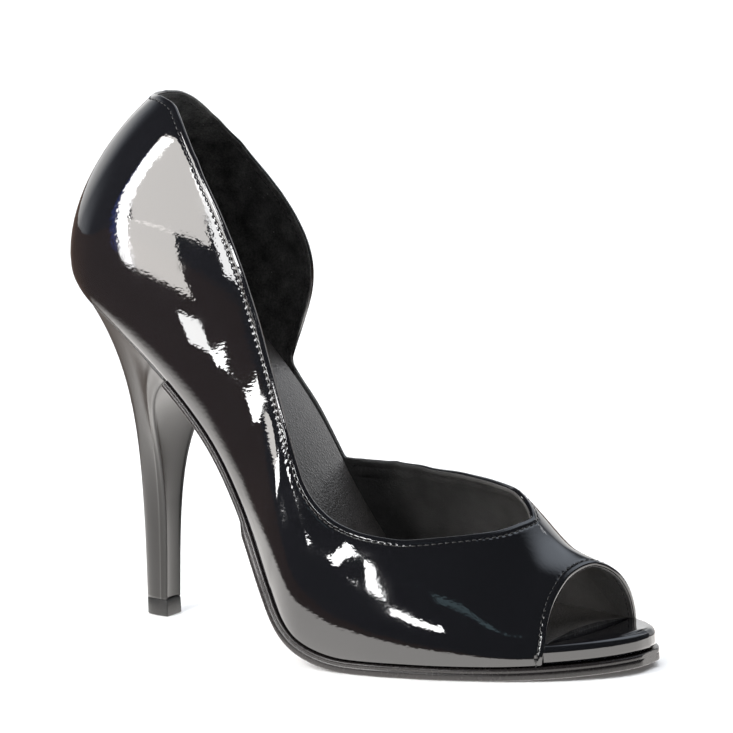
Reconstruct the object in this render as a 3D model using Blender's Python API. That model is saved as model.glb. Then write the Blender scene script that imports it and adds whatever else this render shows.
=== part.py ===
"""Peep toe pump on a high stiletto heel, right foot, cut open along the inner arch.

Metres, Z up, toe towards +X, inner side of the foot towards +Y. The origin is the middle of the
heel tip's bottom face. Everything hangs on one curve, the bottom line of the last, and on one
surface, the last itself: ribs that stand on the edge of the bottom and lean with the foot. The
upper is a strip of that surface between the edge and the topline, with a real wall.
"""
import bpy
import bmesh
import numpy as np

# Main sizes
BOTTOM_LENGTH = 0.2431
BALL_WIDTH = 0.0790
SEAT_BACK_X = -0.0185
INSTEP_HEIGHT = 0.1000
TREAD_SHARE = 0.745

# Thicknesses and fits
OUTSOLE_FORE = 0.0036
OUTSOLE_SHANK = 0.0022
OUTSOLE_STEP_AT = 0.432
OUTSOLE_STEP_RUN = 0.010
OUTSOLE_OVERHANG = 0.0008
OUTSOLE_EDGE_ROUND = 0.0006
UPPER_WALL = 0.0018
UPPER_LIP = 0.0005
INSOLE_HEEL = 0.0030
INSOLE_TOE = 0.0062
INSOLE_ROUND = 0.0008
INSOLE_SIDE_GAP = 0.0009
RIM_HEIGHT = 0.0064
RIM_ROUND = 0.0024
RIM_INSET = 0.0008
FIT_GAP = 0.0003

# The heel
BREAST_SHARE = 0.224
TIP_HEIGHT = 0.0055
TIP_DEPTH = 0.0096
TIP_WIDTH = 0.0074
TIP_TAPER = 0.0003
HEEL_BACK_POWER = 3.4
HEEL_SIDE_POWER = 3.7
HEEL_BREAST_POWER = 8.0
HEEL_BREAST_LEAN = 0.165

# Where the fan of ribs round the back of the heel has its middle
FAN_SHARE = 0.150

# How finely the pieces are divided
SPOKES = 140
UPPER_ROWS = 11
PLATE_STATIONS = 44
HEEL_RINGS = 18
HEEL_AROUND = 44

# The line of the insole's underside from the back of the seat to the toe: share of its length,
# slope downwards in degrees
BOTTOM_SLOPES = np.array([
    (0.000, 27.0),
    (0.051, 30.5),
    (0.102, 34.5),
    (0.255, 45.3),
    (0.430, 60.7),
    (0.528, 59.8),
    (0.6415, 13.8),
    (0.690, 0.0),
    (0.800, 0.0),
    (0.900, -2.5),
    (1.000, -4.5),
])

# The outline of the bottom: share of the length, middle line, lateral half width and medial half
# width, as shares of the width at the ball
OUTLINE = np.array([
    (0.000, 0.000, 0.000, 0.000),
    (0.002, 0.000, 0.082, 0.082),
    (0.007, 0.000, 0.148, 0.148),
    (0.020, 0.000, 0.237, 0.237),
    (0.046, 0.000, 0.312, 0.312),
    (0.082, 0.000, 0.350, 0.350),
    (0.153, 0.000, 0.362, 0.362),
    (0.306, 0.000, 0.363, 0.340),
    (0.410, 0.000, 0.385, 0.330),
    (0.530, 0.000, 0.460, 0.375),
    (0.610, 0.004, 0.508, 0.430),
    (0.690, 0.020, 0.508, 0.454),
    (0.770, 0.045, 0.482, 0.423),
    (0.850, 0.075, 0.423, 0.343),
    (0.905, 0.090, 0.352, 0.282),
    (0.950, 0.100, 0.260, 0.206),
    (0.980, 0.104, 0.166, 0.131),
    (0.994, 0.105, 0.092, 0.073),
    (0.998, 0.105, 0.053, 0.042),
    (1.000, 0.105, 0.000, 0.000),
])

# The ribs of the last: share of the length, height over the edge as a share of the instep height,
# lean forwards in degrees, squareness of the wall, bulge of the wall as a share of the half width
RIBS = np.array([
    (0.00, 0.820, 24.5, 3.20, 0.190),
    (0.02, 0.820, 24.5, 2.90, 0.195),
    (0.06, 0.820, 24.5, 2.65, 0.200),
    (0.12, 0.820, 24.5, 2.90, 0.185),
    (0.20, 0.820, 24.5, 3.20, 0.165),
    (0.35, 0.840, 19.0, 2.90, 0.110),
    (0.50, 0.780, 10.0, 2.40, 0.060),
    (0.62, 0.690, 3.0, 2.00, 0.045),
    (0.72, 0.590, 0.0, 1.75, 0.040),
    (0.80, 0.492, 0.0, 1.62, 0.035),
    (0.88, 0.312, 0.0, 1.62, 0.030),
    (0.95, 0.240, 0.0, 1.70, 0.020),
    (1.00, 0.140, 0.0, 2.00, 0.010),
])


def smooth(table, column, at):
    """Read one column of a table at any place, on a curve that never overshoots its rows."""
    place = table[:, 0]
    value = table[:, column]
    step = np.diff(place)
    slope = np.diff(value) / step
    same = slope[:-1] * slope[1:] > 0
    first = np.where(same, slope[:-1], 1.0)
    second = np.where(same, slope[1:], 1.0)
    near = 2 * step[1:] + step[:-1]
    far = step[1:] + 2 * step[:-1]
    bend = np.zeros(len(place))
    bend[1:-1] = np.where(same, (near + far) / (near / first + far / second), 0.0)
    bend[0] = slope[0]
    bend[-1] = slope[-1]
    at = np.clip(at, place[0], place[-1])
    row = np.clip(np.searchsorted(place, at, side="right") - 1, 0, len(place) - 2)
    t = (at - place[row]) / step[row]
    rise = t * t * (3 - 2 * t)
    return (value[row] * (1 - rise) + value[row + 1] * rise
            + t * (1 - t) ** 2 * step[row] * bend[row]
            - t * t * (1 - t) * step[row] * bend[row + 1])


# The bottom line and the outline, worked out once at many shares of the length
SHARE = 0.5 - 0.5 * np.cos(np.linspace(0, np.pi, 1601))
SLOPE = np.radians(smooth(BOTTOM_SLOPES, 1, SHARE))
RUN = np.diff(SHARE) * BOTTOM_LENGTH
MEAN_SLOPE = (SLOPE[1:] + SLOPE[:-1]) / 2
EDGE_X = SEAT_BACK_X + np.concatenate([[0], np.cumsum(np.cos(MEAN_SLOPE) * RUN)])
FALL = np.concatenate([[0], np.cumsum(np.sin(MEAN_SLOPE) * RUN)])
EDGE_Z = OUTSOLE_FORE + FIT_GAP + np.interp(TREAD_SHARE, SHARE, FALL) - FALL
MIDDLE = smooth(OUTLINE, 1, SHARE) * BALL_WIDTH
LATERAL = smooth(OUTLINE, 2, SHARE) * BALL_WIDTH
MEDIAL = smooth(OUTLINE, 3, SHARE) * BALL_WIDTH

FAN_X = np.interp(FAN_SHARE, SHARE, EDGE_X)
FAN_Z = np.interp(FAN_SHARE, SHARE, EDGE_Z)
FAN_COUNT = np.searchsorted(SHARE, FAN_SHARE) + 1
FAN_EDGE = np.concatenate([np.arange(FAN_COUNT)[::-1], np.arange(1, FAN_COUNT)])
FAN_EDGE_Y = np.concatenate([-LATERAL[:FAN_COUNT][::-1], MEDIAL[1:FAN_COUNT]])
FAN_ANGLE = np.arctan2(FAN_EDGE_Y, FAN_X - EDGE_X[FAN_EDGE])


def bottom_point(share, y, height):
    """Point over the bottom line: along it by a share, across it by y, off it by a height."""
    slope = np.interp(share, SHARE, SLOPE)
    x = np.interp(share, SHARE, EDGE_X) + np.sin(slope) * height
    z = np.interp(share, SHARE, EDGE_Z) + np.cos(slope) * height
    return np.stack([x, y + 0 * x, z], -1)


def edge_y(share, side):
    """Place across of the last's edge on the lateral side (-1) or the medial side (1)."""
    half = np.where(side < 0, np.interp(share, SHARE, LATERAL), np.interp(share, SHARE, MEDIAL))
    return np.interp(share, SHARE, MIDDLE) + side * half


def last_point(chart_x, chart_y):
    """Point of the last over a place in plan: the edge of the plan is the edge of the bottom."""
    share_front = np.interp(chart_x, EDGE_X, SHARE)
    middle = np.interp(share_front, SHARE, MIDDLE)
    side = np.where(chart_y < middle, -1.0, 1.0)
    half = np.abs(edge_y(share_front, side) - middle)
    angle = np.arctan2(chart_y, FAN_X - chart_x)
    share_back = np.interp(angle, FAN_ANGLE, SHARE[FAN_EDGE])
    edge_x = np.interp(angle, FAN_ANGLE, EDGE_X[FAN_EDGE])
    edge_z = np.interp(angle, FAN_ANGLE, EDGE_Z[FAN_EDGE])
    edge_side = np.interp(angle, FAN_ANGLE, FAN_EDGE_Y)
    reach = np.hypot(edge_x - FAN_X, edge_side)
    front = chart_x >= FAN_X
    share = np.where(front, share_front, share_back)
    rho = np.where(front, np.abs(chart_y - middle) / np.maximum(half, 1e-6),
                   np.hypot(chart_x - FAN_X, chart_y) / reach)
    turn = np.pi / 2 * (1 - np.clip(rho, 0, 1)) ** (smooth(RIBS, 3, share) / 2)
    power = 2 / smooth(RIBS, 3, share)
    up = np.sin(turn) ** power
    across = np.cos(turn) ** power * (1 + smooth(RIBS, 4, share) * np.sin(np.pi * up ** 0.6))
    lean = np.radians(smooth(RIBS, 2, share))
    rise = smooth(RIBS, 1, share) * INSTEP_HEIGHT * up
    x = np.where(front, chart_x, FAN_X + (edge_x - FAN_X) * across) + np.sin(lean) * rise
    y = np.where(front, middle + side * half * across, edge_side * across)
    z = np.where(front, np.interp(share, SHARE, EDGE_Z), FAN_Z + (edge_z - FAN_Z) * across)
    return np.stack([x, y, z + np.cos(lean) * rise], -1)


# The strip of the upper. Rows of spokes from the lateral corner of the peep round the heel to the
# medial corner: foot of the spoke as a share of the length (lateral side negative), then the rib
# of its head (the same way) and how far out from the top line the head stands on that rib
COLLAR = np.array([
    (-0.9125, -0.821, 0.362),
    (-0.868, -0.800, 0.479),
    (-0.830, -0.780, 0.527),
    (-0.790, -0.755, 0.567),
    (-0.750, -0.725, 0.595),
    (-0.705, -0.690, 0.605),
    (-0.670, -0.660, 0.604),
    (-0.642, -0.635, 0.600),
    (-0.615, -0.610, 0.589),
    (-0.590, -0.585, 0.578),
    (-0.560, -0.557, 0.571),
    (-0.510, -0.510, 0.580),
    (-0.470, -0.470, 0.591),
    (-0.430, -0.430, 0.600),
    (-0.390, -0.390, 0.597),
    (-0.350, -0.350, 0.581),
    (-0.310, -0.310, 0.553),
    (-0.270, -0.270, 0.517),
    (-0.235, -0.235, 0.483),
    (-0.200, -0.200, 0.449),
    (-0.165, -0.165, 0.419),
    (-0.140, -0.140, 0.398),
    (-0.118, -0.118, 0.382),
    (-0.095, -0.095, 0.368),
    (-0.071, -0.071, 0.356),
    (-0.050, -0.048, 0.346),
    (-0.028, -0.024, 0.358),
    (-0.009, -0.008, 0.396),
    (0.000, 0.000, 0.414),
    (0.006, 0.005, 0.436),
    (0.017, 0.015, 0.471),
    (0.033, 0.030, 0.513),
    (0.048, 0.045, 0.541),
    (0.068, 0.065, 0.567),
    (0.093, 0.090, 0.586),
    (0.122, 0.120, 0.601),
    (0.152, 0.150, 0.615),
    (0.183, 0.180, 0.633),
    (0.208, 0.205, 0.656),
    (0.228, 0.225, 0.687),
    (0.242, 0.239, 0.728),
    (0.250, 0.2465, 0.775),
    (0.256, 0.2500, 0.850),
    (0.261, 0.2515, 0.920),
    (0.266, 0.2550, 0.958),
    (0.272, 0.2640, 0.976),
    (0.284, 0.280, 0.980),
    (0.313, 0.311, 0.980),
    (0.350, 0.349, 0.980),
    (0.385, 0.385, 0.980),
    (0.405, 0.404, 0.978),
    (0.422, 0.420, 0.954),
    (0.442, 0.440, 0.916),
    (0.472, 0.470, 0.860),
    (0.502, 0.500, 0.803),
    (0.542, 0.540, 0.723),
    (0.583, 0.580, 0.641),
    (0.625, 0.620, 0.570),
    (0.670, 0.660, 0.512),
    (0.720, 0.700, 0.468),
    (0.770, 0.740, 0.413),
    (0.820, 0.768, 0.362),
    (0.870, 0.785, 0.314),
    (0.928, 0.798, 0.264),
])

# The edge of the peep from the lateral corner to the medial corner: share of the way, then the
# foot of the spoke and its head in plan, both as a share of the length and of the ball width
PEEP = np.array([
    (0.12, 0.7124, -0.199, 0.6277, -0.075),
    (0.24, 0.7091, -0.150, 0.6322, -0.050),
    (0.38, 0.7073, -0.095, 0.6360, -0.018),
    (0.50, 0.7083, -0.035, 0.6388, 0.015),
    (0.60, 0.7133, 0.020, 0.6398, 0.045),
    (0.70, 0.7215, 0.080, 0.6378, 0.075),
    (0.79, 0.7306, 0.135, 0.6322, 0.102),
    (0.87, 0.7382, 0.185, 0.6241, 0.124),
    (0.93, 0.7397, 0.235, 0.6155, 0.139),
    (0.97, 0.7362, 0.290, 0.6084, 0.147),
])
PEEP_LENGTH = 0.072

# Distance along the edge from the back of the heel, lateral side negative
EDGE_STEP = np.hypot(np.diff(SHARE) * BOTTOM_LENGTH, np.diff(LATERAL - MIDDLE))
LATERAL_ARC = np.concatenate([[0], np.cumsum(EDGE_STEP)])
EDGE_STEP = np.hypot(np.diff(SHARE) * BOTTOM_LENGTH, np.diff(MEDIAL + MIDDLE))
MEDIAL_ARC = np.concatenate([[0], np.cumsum(EDGE_STEP)])
EDGE_SHARE = np.concatenate([-SHARE[:0:-1], SHARE])
EDGE_ARC = np.concatenate([-LATERAL_ARC[:0:-1], MEDIAL_ARC])


def plan_place(signed_share, rho):
    """Place in plan on a rib: the rib by its share, the lateral side negative, and rho out."""
    share = np.abs(signed_share)
    x = np.interp(share, SHARE, EDGE_X)
    edge = edge_y(share, np.where(signed_share < 0, -1.0, 1.0))
    middle = np.interp(share, SHARE, MIDDLE)
    front = share >= FAN_SHARE
    return (np.where(front, x, FAN_X + (x - FAN_X) * rho),
            np.where(front, middle + (edge - middle) * rho, edge * rho))


def spoke_table():
    """Feet and heads of the spokes in plan against the distance round the upper's outer border."""
    foot_x, foot_y = plan_place(COLLAR[:, 0], 1.0)
    head_x, head_y = plan_place(COLLAR[:, 1], COLLAR[:, 2])
    arc = np.interp(COLLAR[:, 0], EDGE_SHARE, EDGE_ARC)
    across = PEEP[::-1]
    peep = np.stack([arc[-1] + (1 - across[:, 0]) * PEEP_LENGTH,
                     SEAT_BACK_X + across[:, 1] * BOTTOM_LENGTH, across[:, 2] * BALL_WIDTH,
                     SEAT_BACK_X + across[:, 3] * BOTTOM_LENGTH, across[:, 4] * BALL_WIDTH], -1)
    rows = np.concatenate([np.stack([arc, foot_x, foot_y, head_x, head_y], -1), peep])
    whole = arc[-1] + PEEP_LENGTH - arc[0]
    before = rows[-6:] - np.array([whole, 0, 0, 0, 0])
    after = rows[:6] + np.array([whole, 0, 0, 0, 0])
    return np.concatenate([before, rows, after]), arc[0], arc[-1], whole


def upper_plan(along_edge, along_peep, rows):
    """Plan of the upper's grid: spokes round the border, rows from the foot to the head."""
    table, start, corner, whole = spoke_table()
    edge_arc = np.linspace(start, corner, along_edge + 1)
    peep_arc = np.linspace(corner, start + whole, along_peep + 1)[1:-1]
    share = np.interp(edge_arc, EDGE_ARC, EDGE_SHARE)
    share[0] = COLLAR[0, 0]
    share[-1] = COLLAR[-1, 0]
    foot_x, foot_y = plan_place(share, 1.0)
    foot_x = np.concatenate([foot_x, smooth(table[-len(PEEP) - 7:-5], 1, peep_arc)])
    foot_y = np.concatenate([foot_y, smooth(table[-len(PEEP) - 7:-5], 2, peep_arc)])
    arc = np.concatenate([edge_arc, peep_arc])
    head_x = smooth(table, 3, arc)
    head_y = smooth(table, 4, arc)
    v = np.linspace(0, 1, rows)[None, :]
    return (foot_x[:, None] * (1 - v) + head_x[:, None] * v,
            foot_y[:, None] * (1 - v) + head_y[:, None] * v)


def last_normal(chart_x, chart_y, reach=0.0002):
    """Outward direction of the last over a place in plan."""
    towards_x = FAN_X + (chart_x - FAN_X) * 0.998
    towards_y = chart_y * 0.998
    ahead = last_point(towards_x + reach, towards_y) - last_point(towards_x - reach, towards_y)
    aside = last_point(towards_x, towards_y + reach) - last_point(towards_x, towards_y - reach)
    normal = np.cross(ahead, aside)
    return normal / np.maximum(np.linalg.norm(normal, axis=-1, keepdims=True), 1e-12)


def add_piece(name, points, faces, colour, roughness, metallic=0.0):
    """Make one solid object with its own material."""
    mesh = bpy.data.meshes.new(name)
    mesh.from_pydata([tuple(p) for p in points], [], faces)
    work = bmesh.new()
    work.from_mesh(mesh)
    bmesh.ops.remove_doubles(work, verts=work.verts, dist=0.00002)
    bmesh.ops.recalc_face_normals(work, faces=work.faces)
    work.to_mesh(mesh)
    work.free()
    material = bpy.data.materials.new(name + "_finish")
    material.use_nodes = True
    shader = material.node_tree.nodes["Principled BSDF"]
    shader.inputs["Base Color"].default_value = (*colour, 1.0)
    shader.inputs["Roughness"].default_value = roughness
    shader.inputs["Metallic"].default_value = metallic
    material.diffuse_color = (*colour, 1.0)
    mesh.materials.append(material)
    piece = bpy.data.objects.new(name, mesh)
    PARTS.objects.link(piece)
    return piece


def ring_faces(rings, around, closed=True):
    """Quads between rings of points that follow each other."""
    faces = []
    last = around if closed else around - 1
    for ring in range(rings - 1):
        for i in range(last):
            j = (i + 1) % around
            faces.append((ring * around + i, ring * around + j,
                          (ring + 1) * around + j, (ring + 1) * around + i))
    return faces


def strip_faces(first, pairs, flip):
    """Quads across a loop whose points mirror each other, from its open end to its tip."""
    faces = []
    for i in range(pairs // 2 - 1):
        a, b = first + i, first + i + 1
        c, d = first + pairs - 2 - i, first + pairs - 1 - i
        faces.append((d, c, b, a) if flip else (a, b, c, d))
    return faces


def plate(name, lateral_start, medial_start, lateral_end, medial_end, layers, stations, finish):
    """Plate that follows the bottom line: its outline runs up one side and down the other.

    Each layer gives an inset from the last's edge and a height off the bottom line, both as
    functions of the share of the length.
    """
    turn = (1 - np.cos(np.linspace(0, 1, stations) * np.pi)) / 2
    lateral = lateral_start + (lateral_end - lateral_start) * turn
    medial = medial_start + (medial_end - medial_start) * turn
    share = np.concatenate([lateral, medial[::-1]])
    side = np.concatenate([-np.ones(stations), np.ones(stations)])
    along = share * BOTTOM_LENGTH
    across = edge_y(share, side)
    d_along = np.gradient(along)
    d_across = np.gradient(across)
    # the two ends of each side keep the direction of the side itself
    for end in (0, stations - 1, stations, 2 * stations - 1):
        near = 1 if end % stations == 0 else -1
        d_along[end] = (along[end + near] - along[end]) * near
        d_across[end] = (across[end + near] - across[end]) * near
    length = np.hypot(d_along, d_across)
    rings = []
    for inset, height in layers:
        inner_along = along - inset(share) * d_across / length
        inner_across = across + inset(share) * d_along / length
        open_end = np.isin(np.arange(2 * stations), (0, 2 * stations - 1))
        inner_along = np.where(open_end, along, inner_along)
        if lateral_start < 0.01:
            inner_along[0] = inner_along[-1] = along[0] + inset(share[:1])[0]
        inner_share = inner_along / BOTTOM_LENGTH
        rings.append(bottom_point(inner_share, inner_across, height(inner_share)))
    count = 2 * stations
    faces = ring_faces(len(rings), count)
    faces += strip_faces(0, count, True)
    faces += strip_faces((len(rings) - 1) * count, count, False)
    return add_piece(name, np.concatenate(rings), faces, *finish)


def make_upper():
    """The shell of the upper: the strip of the last, its inner face and its rounded borders."""
    along_peep = SPOKES // 7
    chart_x, chart_y = upper_plan(SPOKES - along_peep, along_peep, UPPER_ROWS)
    outer = last_point(chart_x, chart_y)
    normal = last_normal(chart_x, chart_y)
    inner = outer - normal * UPPER_WALL
    # the borders are rounded by one more row half way through the wall
    head = outer[:, -1] - outer[:, -2]
    head = head / np.linalg.norm(head, axis=1, keepdims=True)
    lip = (outer[:, -1] + inner[:, -1]) / 2 + head * UPPER_LIP
    rows = np.concatenate([outer, lip[:, None], inner[:, ::-1]], axis=1)
    spokes, across = rows.shape[:2]
    faces = []
    for i in range(spokes):
        j = (i + 1) % spokes
        for k in range(across):
            m = (k + 1) % across
            faces.append((i * across + k, j * across + k, j * across + m, i * across + m))
    return add_piece("upper", rows.reshape(-1, 3), faces, PATENT, 0.10)


def tip_ring(x_front, depth, width, z):
    """D-shaped ring: flat breast in front, rounded back, from the lateral to the medial corner."""
    turn = np.linspace(-1, 1, HEEL_AROUND) * np.pi / 2
    x = x_front - depth * np.cos(turn) ** 0.75
    y = width / 2 * np.sign(turn) * np.abs(np.sin(turn)) ** 0.75
    return np.stack([x, y, z + 0 * x], -1)


def make_heel():
    """Stiletto heel: every point of the tip's ring runs up to its own point of the seat's edge."""
    arc_end = np.interp(BREAST_SHARE, SHARE, LATERAL_ARC)
    arc = np.linspace(-arc_end, np.interp(BREAST_SHARE, SHARE, MEDIAL_ARC), HEEL_AROUND)
    share = np.interp(arc, EDGE_ARC, EDGE_SHARE)
    share[0] = -BREAST_SHARE
    share[-1] = BREAST_SHARE
    side = np.where(share < 0, -1.0, 1.0)
    seat = bottom_point(np.abs(share), edge_y(np.abs(share), side), -FIT_GAP)
    foot = tip_ring(TIP_DEPTH / 2, TIP_DEPTH, TIP_WIDTH, TIP_HEIGHT)
    # how much of each line belongs to the back, and how much to the breast
    back = np.cos(np.linspace(-1, 1, HEEL_AROUND) * np.pi / 2) ** 2
    breast = np.clip((np.abs(np.linspace(-1, 1, HEEL_AROUND)) - 0.80) / 0.20, 0, 1)
    rings = []
    for f in np.linspace(0, 1, HEEL_RINGS):
        lengthways = back * f ** HEEL_BACK_POWER + (1 - back) * f ** HEEL_SIDE_POWER
        forwards = HEEL_BREAST_LEAN * f + (1 - HEEL_BREAST_LEAN) * f ** HEEL_BREAST_POWER
        lengthways = lengthways * (1 - breast) + forwards * breast
        sideways = f ** HEEL_SIDE_POWER
        ring = foot.copy()
        ring[:, 0] += (seat[:, 0] - foot[:, 0]) * lengthways
        ring[:, 1] += (seat[:, 1] - foot[:, 1]) * sideways
        ring[:, 2] += (seat[:, 2] - foot[:, 2]) * f
        rings.append(ring)
    faces = ring_faces(HEEL_RINGS, HEEL_AROUND)
    faces += strip_faces(0, HEEL_AROUND, True)
    faces += strip_faces((HEEL_RINGS - 1) * HEEL_AROUND, HEEL_AROUND, False)
    return add_piece("heel", np.concatenate(rings), faces, PATENT, 0.12)


def make_tip():
    """Top piece of the heel: a short block with the heel's own section, flat on the ground."""
    flare = TIP_TAPER * 2
    low = tip_ring(TIP_DEPTH / 2, TIP_DEPTH, TIP_WIDTH, 0.0)
    high = tip_ring(TIP_DEPTH / 2, TIP_DEPTH, TIP_WIDTH - flare, TIP_HEIGHT)
    faces = ring_faces(2, HEEL_AROUND)
    faces += strip_faces(0, HEEL_AROUND, True)
    faces += strip_faces(HEEL_AROUND, HEEL_AROUND, False)
    return add_piece("heel_tip", np.concatenate([low, high]), faces, (0.012, 0.012, 0.012), 0.60)


def outsole_thickness(share):
    """Thin under the waist, thicker from the step forwards."""
    run = (share - OUTSOLE_STEP_AT) * BOTTOM_LENGTH / OUTSOLE_STEP_RUN
    return OUTSOLE_SHANK + (OUTSOLE_FORE - OUTSOLE_SHANK) * np.clip(run, 0, 1)


def insole_thickness(share):
    """Thicker towards the toe, where the rim closes it."""
    return INSOLE_HEEL + (INSOLE_TOE - INSOLE_HEEL) * np.clip((share - 0.50) / 0.30, 0, 1)


def constant(value):
    """A size that is the same all along the length."""
    return lambda share: value + 0 * share


for old in list(bpy.data.objects):
    bpy.data.objects.remove(old, do_unlink=True)
PARTS = bpy.data.collections.new("peep_toe_pump")
bpy.context.scene.collection.children.link(PARTS)

PATENT = (0.010, 0.010, 0.012)
make_upper()

waist = UPPER_WALL + INSOLE_SIDE_GAP
plate("insole", 0.006, 0.006, 0.902, 0.920, [
    (constant(waist + INSOLE_ROUND), constant(0.0)),
    (constant(waist), constant(INSOLE_ROUND)),
    (constant(waist), lambda share: insole_thickness(share) - INSOLE_ROUND),
    (constant(waist + INSOLE_ROUND), insole_thickness),
], PLATE_STATIONS, ((0.030, 0.029, 0.031), 0.55))

plate("toe_rim", 0.919, 0.940, 0.9985, 0.9985, [
    (constant(RIM_INSET + RIM_ROUND * 0.3), constant(0.0)),
    (constant(RIM_INSET), constant(RIM_ROUND * 0.3)),
    (constant(RIM_INSET), constant(RIM_HEIGHT - RIM_ROUND)),
    (constant(RIM_INSET + RIM_ROUND * 0.13), constant(RIM_HEIGHT - RIM_ROUND * 0.50)),
    (constant(RIM_INSET + RIM_ROUND * 0.50), constant(RIM_HEIGHT - RIM_ROUND * 0.13)),
    (constant(RIM_INSET + RIM_ROUND), constant(RIM_HEIGHT)),
], PLATE_STATIONS // 2, (PATENT, 0.12))

plate("outsole", BREAST_SHARE + 0.0015, BREAST_SHARE + 0.0015, 0.9985, 0.9985, [
    (constant(OUTSOLE_EDGE_ROUND - OUTSOLE_OVERHANG),
     lambda share: -FIT_GAP - outsole_thickness(share)),
    (constant(-OUTSOLE_OVERHANG),
     lambda share: OUTSOLE_EDGE_ROUND - FIT_GAP - outsole_thickness(share)),
    (constant(-OUTSOLE_OVERHANG), constant(-FIT_GAP)),
], PLATE_STATIONS + 8, ((0.035, 0.032, 0.033), 0.40))

make_heel()
make_tip()
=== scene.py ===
"""Black patent peep toe pump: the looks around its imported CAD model.

A lesson in cells. Each step says what the piece is on the real shoe, how it could be made and
why this way was chosen. Metres, Z up, toe towards +X, inner side of the foot towards +Y.
"""
# %% Start
import bpy
import bmesh
import numpy as np
from mathutils import Matrix, Vector


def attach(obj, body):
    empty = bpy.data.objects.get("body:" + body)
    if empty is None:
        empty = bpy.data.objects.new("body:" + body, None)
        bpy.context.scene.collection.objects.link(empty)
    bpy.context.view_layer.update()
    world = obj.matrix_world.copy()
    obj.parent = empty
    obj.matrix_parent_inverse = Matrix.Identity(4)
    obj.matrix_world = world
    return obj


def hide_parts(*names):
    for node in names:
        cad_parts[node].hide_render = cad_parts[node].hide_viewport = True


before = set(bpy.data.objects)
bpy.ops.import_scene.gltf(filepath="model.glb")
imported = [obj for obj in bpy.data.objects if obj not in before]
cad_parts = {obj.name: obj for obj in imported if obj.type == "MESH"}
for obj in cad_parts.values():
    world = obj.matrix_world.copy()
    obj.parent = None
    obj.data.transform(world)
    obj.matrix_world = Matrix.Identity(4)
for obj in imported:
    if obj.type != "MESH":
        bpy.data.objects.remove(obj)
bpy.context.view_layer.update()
MM = 0.001
print("frame nodes:", sorted(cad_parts))

# %% [markdown]
# The shoe is drawn from the same few curves as its solids: a bottom line that falls from the
# seat to the tread, an outline on it, and ribs that stand on that outline and lean with the
# foot. A scan or a sculpt could give the same shape, but with curves every seam, fold and
# stitch can be placed in the shoe's own sizes.

# %% Sizes of the shoe
BOTTOM_LENGTH = 0.2431
BALL_WIDTH = 0.0790
SEAT_BACK_X = -0.0185
INSTEP_HEIGHT = 0.1000
TREAD_SHARE = 0.745
OUTSOLE_FORE = 0.0036
OUTSOLE_SHANK = 0.0022
OUTSOLE_STEP_AT = 0.432
OUTSOLE_STEP_RUN = 0.004
OUTSOLE_OVERHANG = 0.0008
UPPER_WALL = 0.0018
UPPER_LIP = 0.0005
INSOLE_HEEL = 0.0030
INSOLE_TOE = 0.0062
RIM_HEIGHT = 0.0064
FIT_GAP = 0.0003
BREAST_SHARE = 0.224
TIP_HEIGHT = 0.0055
TIP_DEPTH = 0.0096
TIP_WIDTH = 0.0074
HEEL_BACK_POWER = 3.4
HEEL_SIDE_POWER = 3.7
HEEL_BREAST_POWER = 8.0
HEEL_BREAST_LEAN = 0.165
FAN_SHARE = 0.150
PEEP_LENGTH = 0.072

# %% Tables of the last
# share of the bottom line, slope downwards in degrees
BOTTOM_SLOPES = np.array([
    (0.000, 27.0), (0.051, 30.5), (0.102, 34.5), (0.255, 45.3), (0.430, 60.7), (0.528, 59.8),
    (0.6415, 13.8), (0.690, 0.0), (0.800, 0.0), (0.900, -2.5), (1.000, -4.5)])

# share, middle line, lateral and medial half width as shares of the width at the ball
OUTLINE = np.array([
    (0.000, 0.000, 0.000, 0.000), (0.002, 0.000, 0.082, 0.082), (0.007, 0.000, 0.148, 0.148),
    (0.020, 0.000, 0.237, 0.237), (0.046, 0.000, 0.312, 0.312), (0.082, 0.000, 0.350, 0.350),
    (0.153, 0.000, 0.362, 0.362), (0.306, 0.000, 0.363, 0.340), (0.410, 0.000, 0.385, 0.330),
    (0.530, 0.000, 0.460, 0.375), (0.610, 0.004, 0.508, 0.430), (0.690, 0.020, 0.508, 0.454),
    (0.770, 0.045, 0.482, 0.423), (0.850, 0.075, 0.423, 0.343), (0.905, 0.090, 0.352, 0.282),
    (0.950, 0.100, 0.260, 0.206), (0.980, 0.104, 0.166, 0.131), (0.994, 0.105, 0.092, 0.073),
    (0.998, 0.105, 0.053, 0.042), (1.000, 0.105, 0.000, 0.000)])

# share, height as a share of the instep height, lean in degrees, squareness, bulge
RIBS = np.array([
    (0.00, 0.820, 24.5, 3.20, 0.190), (0.02, 0.820, 24.5, 2.90, 0.195),
    (0.06, 0.820, 24.5, 2.65, 0.200), (0.12, 0.820, 24.5, 2.90, 0.185),
    (0.20, 0.820, 24.5, 3.20, 0.165), (0.35, 0.840, 19.0, 2.90, 0.110),
    (0.50, 0.780, 10.0, 2.40, 0.060), (0.62, 0.690, 3.0, 2.00, 0.045),
    (0.72, 0.590, 0.0, 1.75, 0.040), (0.80, 0.492, 0.0, 1.62, 0.035),
    (0.88, 0.312, 0.0, 1.62, 0.030), (0.95, 0.240, 0.0, 1.70, 0.020),
    (1.00, 0.140, 0.0, 2.00, 0.010)])
BULGE_POWER = 0.6

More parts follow.
